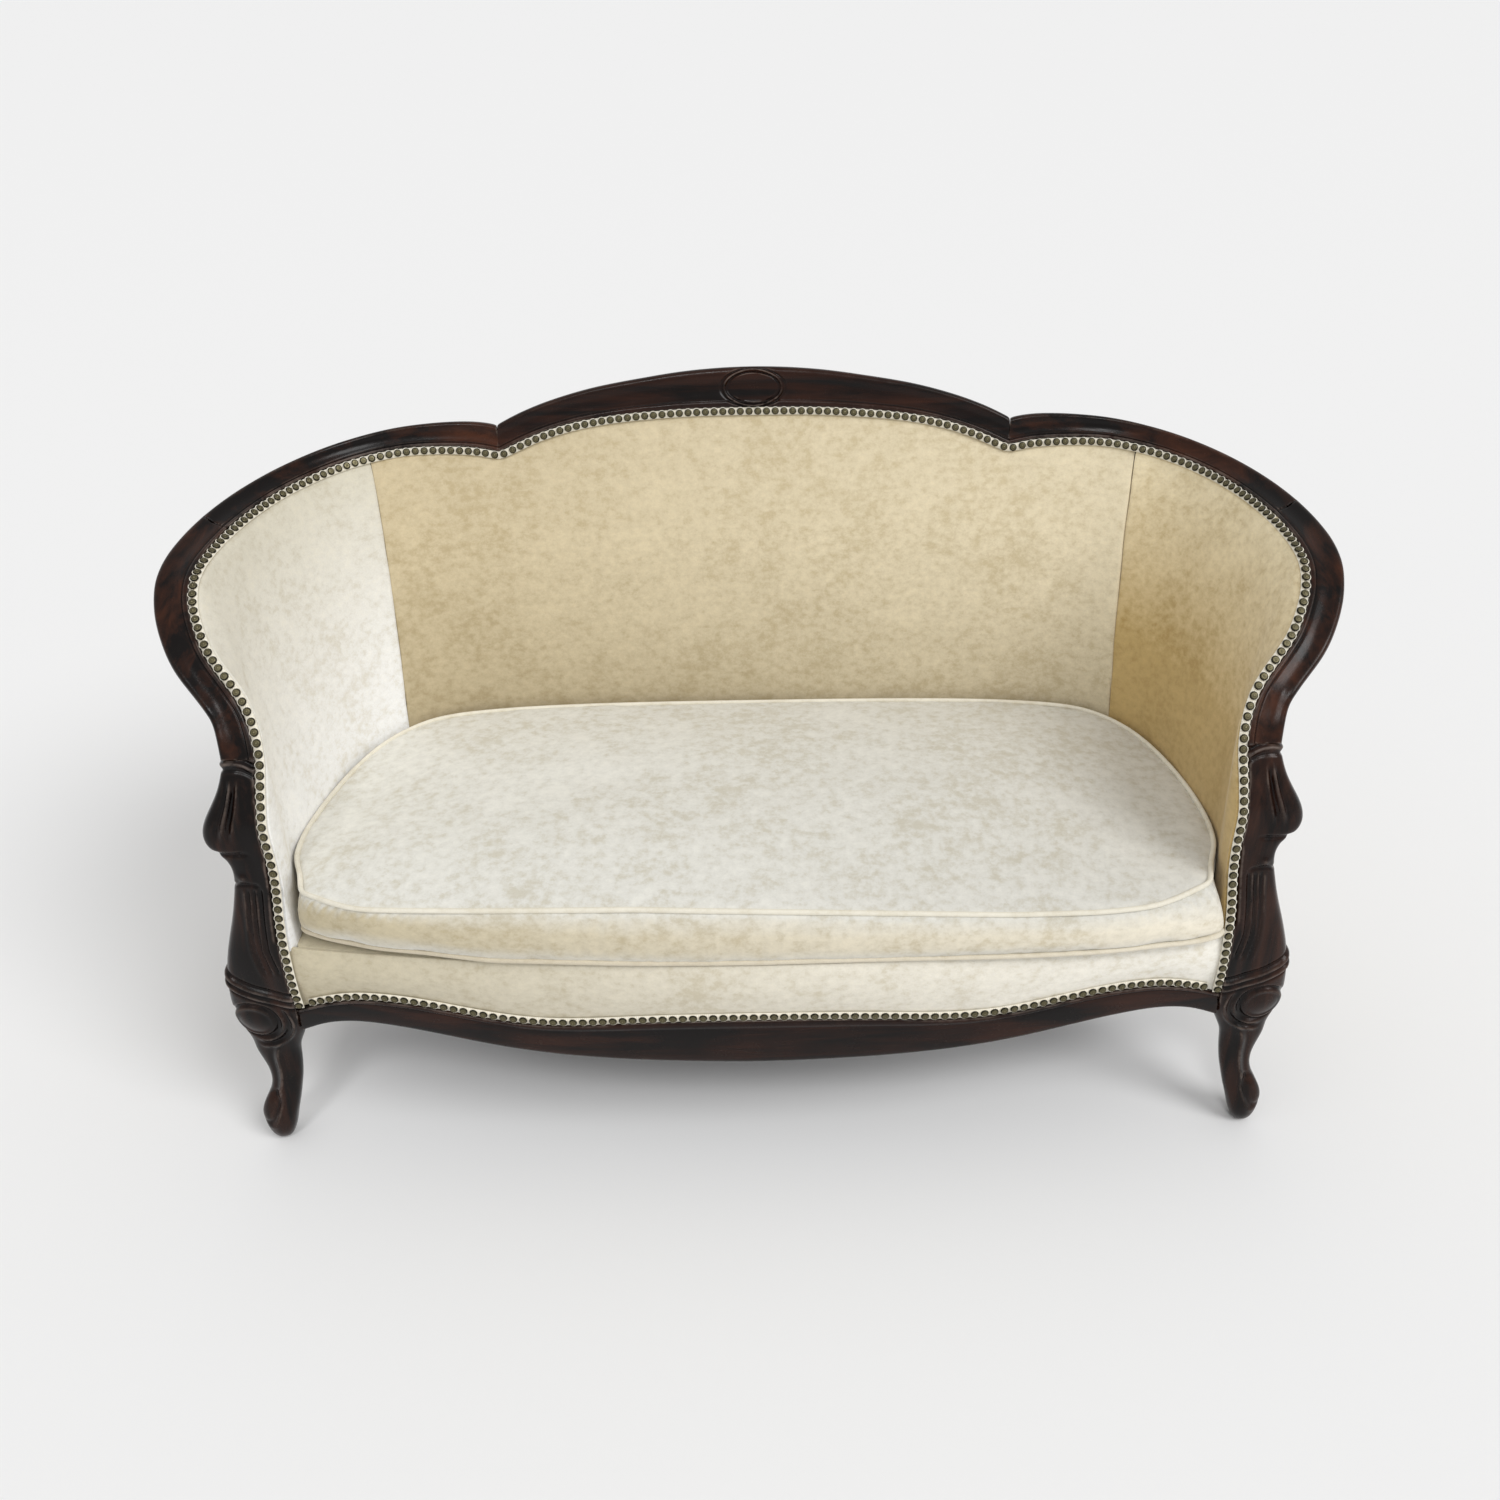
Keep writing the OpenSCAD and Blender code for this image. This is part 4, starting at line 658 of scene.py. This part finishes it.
def padding(node, name, material, seed, corner=0.0, mitre=0.0):
    # corner draws the front lower corner down behind the band; mitre fills out the padding
    # where the arm rail meets the shoulder rail
    piece = take_from_frame(node, name)
    subdivide(piece, 3, 50, 0.85)
    co, nor = points_of(piece), normals_of(piece)
    foremost = np.clip((-0.27 - co[:, 1]) / 0.03, 0, 1)
    co[:, 2] -= corner * np.clip((0.380 - co[:, 2]) / 0.014, 0, 1) * foremost
    mirrored = np.stack([np.abs(co[:, 0]), co[:, 1], co[:, 2]], 1)
    from_joint = np.linalg.norm(mirrored - (0.734, 0.016, 0.8185), axis=1)
    co += nor * (mitre * ridge(from_joint, 0.038))[:, None]
    move_points(piece, co)
    soften(piece, 9, 0.0016, seed)
    soften(piece, 26, 0.0007, seed + 5)
    tuck_at_nails(piece, 0.006, 0.0016)
    mark_wear_highlight_and_shade(piece, 160)
    dress(piece, "frame", material, "velvet", node)

padding("inside_back", "padded_back", back_velvet_painted_light_and_shade, 1.0)
padding("left_inside_arm", "padded_left_arm", left_velvet_painted_light, 11.0, corner=0.014, mitre=0.004)
padding("right_inside_arm", "padded_right_arm", right_velvet_painted_shade, 21.0, corner=0.014, mitre=0.004)

# The fixed band below the cushion, padded and covered in the same velvet, and the stuffed
# deck that the cushion lies on.
# painted light: the band's and the deck's cloth is darker at the left and brighter at the right
front_velvet_painted_light = velvet_cloth("front_velvet_painted_light", (0.71, 0.66, 0.54), 0.9,
                            painted_light_across=((0.76, 0.73, 0.645), (1.19, 1.235, 1.36)))
padding("front_band", "padded_front_band", front_velvet_painted_light, 31.0)
deck = eased("seat_deck", "stuffed_deck", 0.003, 50)
mark_wear_highlight_and_shade(deck, 200)
dress(deck, "frame", front_velvet_painted_light, "velvet", "seat_deck")

# Outside back and outside arms: the same velvet stretched over its backing, from behind
# the rail down to the underside of the seat rails.
for node, name, flat, rests in (
        ("outside_back", "stretched_outside_back", (1.62, 0.66),
         ["crest_rail_moulding", "back_seat_rail"]),
        ("left_outside_arm", "stretched_left_outside_arm", (0.56, 0.62),
         ["left_shoulder_moulding", "left_side_rail"]),
        ("right_outside_arm", "stretched_right_outside_arm", (0.56, 0.62),
         ["right_shoulder_moulding", "right_side_rail"])):
    piece = take_from_frame(node, name)
    subdivide(piece, 3, 40)
    soften(piece, 6, 0.0008, 3.0)
    mark_wear_highlight_and_shade(piece, 1200)
    dress(piece, "frame", back_velvet_painted_light_and_shade, "velvet", node)

# The cloth's trimmed edge: a narrow cream strip with a scallop under each nail, and the
# domed nails of antique brass that hold it, set edge to edge.
cream, cream_tree, cream_shader = new_material("cream_edge_cloth")
threads = place_group(cream, weave, {"Thread": (0.92, 0.89, 0.80, 1), "Gap": (0.76, 0.70, 0.56, 1),
                                     "Count": 2200})
cream_tree.links.new(threads.outputs["Color"], cream_shader.inputs["Base Color"])
cream_tree.links.new(ramp_node(cream_tree, threads.outputs["Height"], 0, 1, 0.9, 0.8),
                     cream_shader.inputs["Roughness"])
raise_surface(cream_tree, cream_shader, threads.outputs["Height"], 0.3, 0.0003)

brass, brass_tree, brass_shader = new_material("antique_brass")
crown = point_mask(brass_tree, "crown")
spots = noise_node(brass_tree, own_place(brass_tree), 420, 4, 0.7)
color = blend_node(brass_tree, ramp_node(brass_tree, crown, 0.50, 0.95), (0.009, 0.008, 0.004, 1),
                   (0.20, 0.175, 0.095, 1))
color = blend_node(brass_tree, ramp_node(brass_tree, spots, 0.45, 0.75, 0, 0.6), color,
                   (0.07, 0.06, 0.035, 1))
brass_tree.links.new(color, brass_shader.inputs["Base Color"])
brass_tree.links.new(ramp_node(brass_tree, spots, 0.3, 0.7, 0.28, 0.5),
                     brass_shader.inputs["Roughness"])
brass_shader.inputs["Metallic"].default_value = 0.75
raise_surface(brass_tree, brass_shader, spots, 0.25, 0.0003)

# one nail, one scallop: profiles of radius and height in metres, turned with 12 sides
head_profile = [(0.0, 0.0031), (0.0010, 0.0029), (0.0018, 0.0020), (0.0029, 0.0026),
                (0.0042, 0.0022), (0.0054, 0.0012), (0.0059, 0.0)]
scallop_profile = [(0.0, 0.0009), (0.0050, 0.00085), (0.0058, 0.0006), (0.0063, 0.0)]
sides = 12

def turned(profile):
    verts = [(0, 0, profile[0][1])]
    for r, h in profile[1:]:
        verts += [(r * math.cos(a), r * math.sin(a), h)
                  for a in np.linspace(0, 2 * math.pi, sides, endpoint=False)]
    faces = [(0, 1 + j, 1 + (j + 1) % sides) for j in range(sides)]
    for k in range(len(profile) - 2):
        for j in range(sides):
            a, b = 1 + k * sides + j, 1 + k * sides + (j + 1) % sides
            faces.append((a, a + sides, b + sides, b))
    faces.append(tuple(reversed([1 + (len(profile) - 2) * sides + j for j in range(sides)])))
    return np.array(verts), faces

def set_in_row(name, row, profile, shifts, material):
    verts, faces = turned(profile)
    all_verts, all_faces = [], []
    for (_, place, axis), shift in zip(row, shifts):
        z = Vector(axis).normalized()
        x = z.orthogonal().normalized()
        turn = np.array([x, z.cross(x), z]).T
        first = len(all_verts) * len(verts)
        all_verts.append(verts @ turn.T + np.array(place) + shift)
        all_faces += [tuple(first + v for v in f) for f in faces]
    mesh = bpy.data.meshes.new(name)
    mesh.from_pydata(np.vstack(all_verts).tolist(), [], all_faces)
    crown = np.tile(verts[:, 2] / verts[:, 2].max(), len(row))
    layer = mesh.attributes.new("crown", "FLOAT", "POINT")
    layer.data.foreach_set("value", crown.astype(np.float32))
    piece = bpy.data.objects.new(name, mesh)
    bpy.context.scene.collection.objects.link(piece)
    mesh.materials.append(material)
    mesh.polygons.foreach_set("use_smooth", [True] * len(mesh.polygons))
    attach(piece, "frame")
    return piece

def toward_wood(node, place, axis):
    if node in front_nodes:
        out = Vector((0, 0, -1))
    elif "leg" in node or "arm" in node:
        out = Vector((place[0], 0.2 * (place[1] + 0.05), 0.5 * (place[2] - 0.62)))
    else:
        out = Vector((place[0], place[1] + 0.05, place[2] - 0.62))
    z = Vector(axis).normalized()
    out = out - z * out.dot(z)
    return out.normalized()

for node in edge_nodes + front_nodes:
    row = [n for n in nails if n[0] == node]
    heads = set_in_row(node.replace("nails", "nail_heads"), row, head_profile,
                       [np.zeros(3)] * len(row), brass)
    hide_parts(node)
aside, sunk = 0.0008, 0.0004
shifts = [np.array(toward_wood(*n)) * aside - np.array(n[2]) * sunk for n in nails]
scallops = set_in_row("scalloped_edge", nails, scallop_profile, shifts, cream)
strip = take_from_frame("hem_strip", "trimmed_edge")
subdivide(strip, 1, 40)
dress(strip, "frame", cream, "cream_edge", "hem_strip")

# The loose seat cushion: a boxed velvet cushion, well filled, that swells between its two
# seams. It lies a little high at its left end, and its front corners press on the posts.
# painted light and shade: the boxing's upright faces are darker and yellower at the left and
# brighter at the right, and the whole cushion darkens a little towards the right
cushion_cloth_painted_light = velvet_cloth("cushion_velvet", (0.71, 0.70, 0.645), 1.0,
                             side=((0.72, 0.63, 0.455), (1.22, 1.155, 1.04)),
                             painted_light_across=((1.02, 1.02, 1.02), (0.89, 0.885, 0.88)))
cushion = take_from_frame("seat_cushion", "stuffed_cushion")
bpy.ops.object.mode_set(mode="EDIT")
bpy.ops.mesh.select_all(action="SELECT")
bpy.ops.mesh.normals_make_consistent(inside=False)
bpy.ops.object.mode_set(mode="OBJECT")
mould = cushion.modifiers.new("even", "REMESH")
mould.mode = "VOXEL"
mould.voxel_size = 0.0085
bpy.ops.object.modifier_apply(modifier="even")
start = points_of(cushion)
top_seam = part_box("cushion_top_welt")
bottom_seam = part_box("cushion_bottom_welt")
seam_top = (top_seam[0][2] + top_seam[1][2]) / 2
seam_bottom = (bottom_seam[0][2] + bottom_seam[1][2]) / 2
# the stuffing presses the cloth outwards; the seams and the bottom stay where they are
held = cushion.vertex_groups.new(name="held")
near = [i for i, p in enumerate(start)
        if abs(p[2] - seam_top) < 0.008 or p[2] < seam_bottom + 0.006]
held.add(near, 1.0, "REPLACE")
swell = cushion.modifiers.new("swell", "CLOTH")
swell.settings.quality = 4
swell.settings.mass = 0.3
swell.settings.use_pressure = True
swell.settings.uniform_pressure_force = 4
swell.settings.tension_stiffness = 12
swell.settings.compression_stiffness = 12
swell.settings.bending_stiffness = 0.6
swell.settings.vertex_group_mass = "held"
swell.settings.effector_weights.gravity = 0
swell.point_cache.frame_start = 1
swell.point_cache.frame_end = 20
for f in range(1, 21):
    bpy.context.scene.frame_set(f)
bpy.context.view_layer.objects.active = cushion
bpy.ops.object.modifier_apply(modifier="swell")
bpy.context.scene.frame_set(1)
cushion.vertex_groups.clear()
shift = points_of(cushion) - start
far = np.linalg.norm(shift, axis=1)
most = np.where(start[:, 2] > seam_top, 0.012, 0.007)
shift *= np.minimum(1, most / np.maximum(far, 1e-6))[:, None]
move_points(cushion, start + shift)
smoother = cushion.modifiers.new("smoother", "SUBSURF")
smoother.levels = smoother.render_levels = 1
bpy.ops.object.modifier_apply(modifier="smoother")
soften(cushion, 7, 0.0022, 41.0)
soften(cushion, 22, 0.0008, 47.0)
co, nor = points_of(cushion), normals_of(cushion)
# the boxing puckers between its seams, and gathers below the top one, most at the corners
side = (co[:, 2] < seam_top - 0.004) & (co[:, 2] > seam_bottom + 0.004)
run = np.arctan2(co[:, 1] + 0.05, co[:, 0]) * 40
pucker = np.array([noise.noise(Vector((r, z * 14, 3.0))) for r, z in zip(run, co[:, 2])]) * 0.0012
gather = (np.sin(run * 11) * 0.0011 * ridge(seam_top - 0.010 - co[:, 2], 0.010)
          * np.clip(np.abs(co[:, 0]) * 5 - 1.6, 0.25, 1))
move_points(cushion, co + nor * ((pucker + gather) * side)[:, None])

def ease(v, low, high):
    t = np.clip((v - low) / (high - low), 0, 1)
    return t * t * (3 - 2 * t)

# how the front edge sits, along x: lift of the top seam, lift and draw back of the bottom seam
edge_x = (-0.62, -0.55, -0.45, -0.36, -0.16, 0.0, 0.17, 0.34, 0.46, 0.54, 0.62)
top_lift = (0.010, 0.011, 0.011, 0.012, 0.013, 0.006, -0.003, -0.009, -0.010, -0.005, 0.005)
bottom_lift = (0.017, 0.015, 0.010, 0.005, 0.002, 0.0, 0.0, 0.001, 0.003, 0.005, 0.004)
bottom_back = (0.018, 0.020, 0.014, 0.005, 0.0, 0.0, 0.0, 0.0, 0.0, 0.003, 0.003)
deck_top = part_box("seat_deck")[1][2]

def settle(piece):
    co = points_of(piece)
    up = np.clip((co[:, 2] - seam_bottom) / (seam_top - seam_bottom), 0, 1)
    fore = ease(-co[:, 1], 0.06, 0.27)
    side = np.sign(co[:, 0])
    wide = np.abs(co[:, 0])
    # the ends press outwards against the arms, most at the seams
    press = 0.0065 + 0.004 * (2 * up - 1) ** 2
    wide += ease(wide, 0.36, 0.56) * ease(-co[:, 1], -0.16, 0.10) * press
    front = -co[:, 1] + fore * (0.009 - 0.005 * up)
    # the round front corners fill out towards square ones, and push out below the top seam
    reach, end, brink = 0.145, 0.648, -top_seam[0][1] + 0.006
    dx = np.clip((wide - end + reach) / reach, 0, 1.2)
    dy = np.clip((front - brink + reach) / reach, 0, 1.2)
    fill = (dx ** 5 + dy ** 5) ** 0.2 / np.maximum(np.hypot(dx, dy), 1e-6) - 1
    fill *= np.where(side > 0, 0.10 + 0.55 * up, 0.60 + 0.18 * up)
    wide += dx * reach * fill
    push = np.where(side > 0, 0.016, 0.014) * (1 - up ** 2)
    wide += push * ease(wide, 0.50, 0.62) * ease(front, 0.29, 0.355)
    front += dy * reach * fill
    x = side * wide
    front -= np.interp(x, edge_x, bottom_back) * (1 - up) * fore
    lift = np.interp(x, edge_x, bottom_lift) * (1 - up) + np.interp(x, edge_x, top_lift) * up
    co[:, 2] += lift * fore
    co[:, 0], co[:, 1] = x, -front
    wave = np.array([noise.noise(Vector((v * 3.1, 5.0, 0.0))) for v in co[:, 0]])
    co[:, 2] = np.maximum(co[:, 2] + wave * 0.003 * fore, deck_top + 0.0006)
    move_points(piece, co)

settle(cushion)
nor = normals_of(cushion)
# the side mask marks the boxing's upright faces, where the painted light from left to right is laid
layer = cushion.data.attributes.new("side", "FLOAT", "POINT")
layer.data.foreach_set("value", np.clip(1.3 - 2.2 * np.abs(nor[:, 2]), 0, 1).astype(np.float32))
mark_wear_highlight_and_shade(cushion, 160)
dress(cushion, "cushion", cushion_cloth_painted_light, "cushion_velvet", "seat_cushion")

# The pipings: a strip of the velvet sewn round a thin cord, set into the cushion's top seam
# and its bottom seam. They settle with it.
top_cord = velvet_cloth("top_piping_velvet", (0.76, 0.72, 0.61), 0.5)
# painted shade: the bottom piping is a darker copy of the top piping's velvet, and painted light
# brightens it from left to right
bottom_cord_painted_shade = velvet_cloth("bottom_piping_velvet_painted_shade", (0.62, 0.56, 0.44), 0.5,
                           painted_light_across=((0.92, 0.90, 0.86), (1.12, 1.14, 1.18)))
for node, name, cord in (("cushion_top_welt", "top_piping", top_cord),
                         ("cushion_bottom_welt", "bottom_piping", bottom_cord_painted_shade)):
    piping = take_from_frame(node, name)
    bpy.ops.object.mode_set(mode="EDIT")
    bpy.ops.mesh.select_all(action="SELECT")
    bpy.ops.transform.shrink_fatten(value=0.0016)
    bpy.ops.object.mode_set(mode="OBJECT")
    subdivide(piping, 2, 170)
    settle(piping)
    mark_wear_highlight_and_shade(piping, 500)
    dress(piping, "cushion", cord, "cushion_velvet", node)
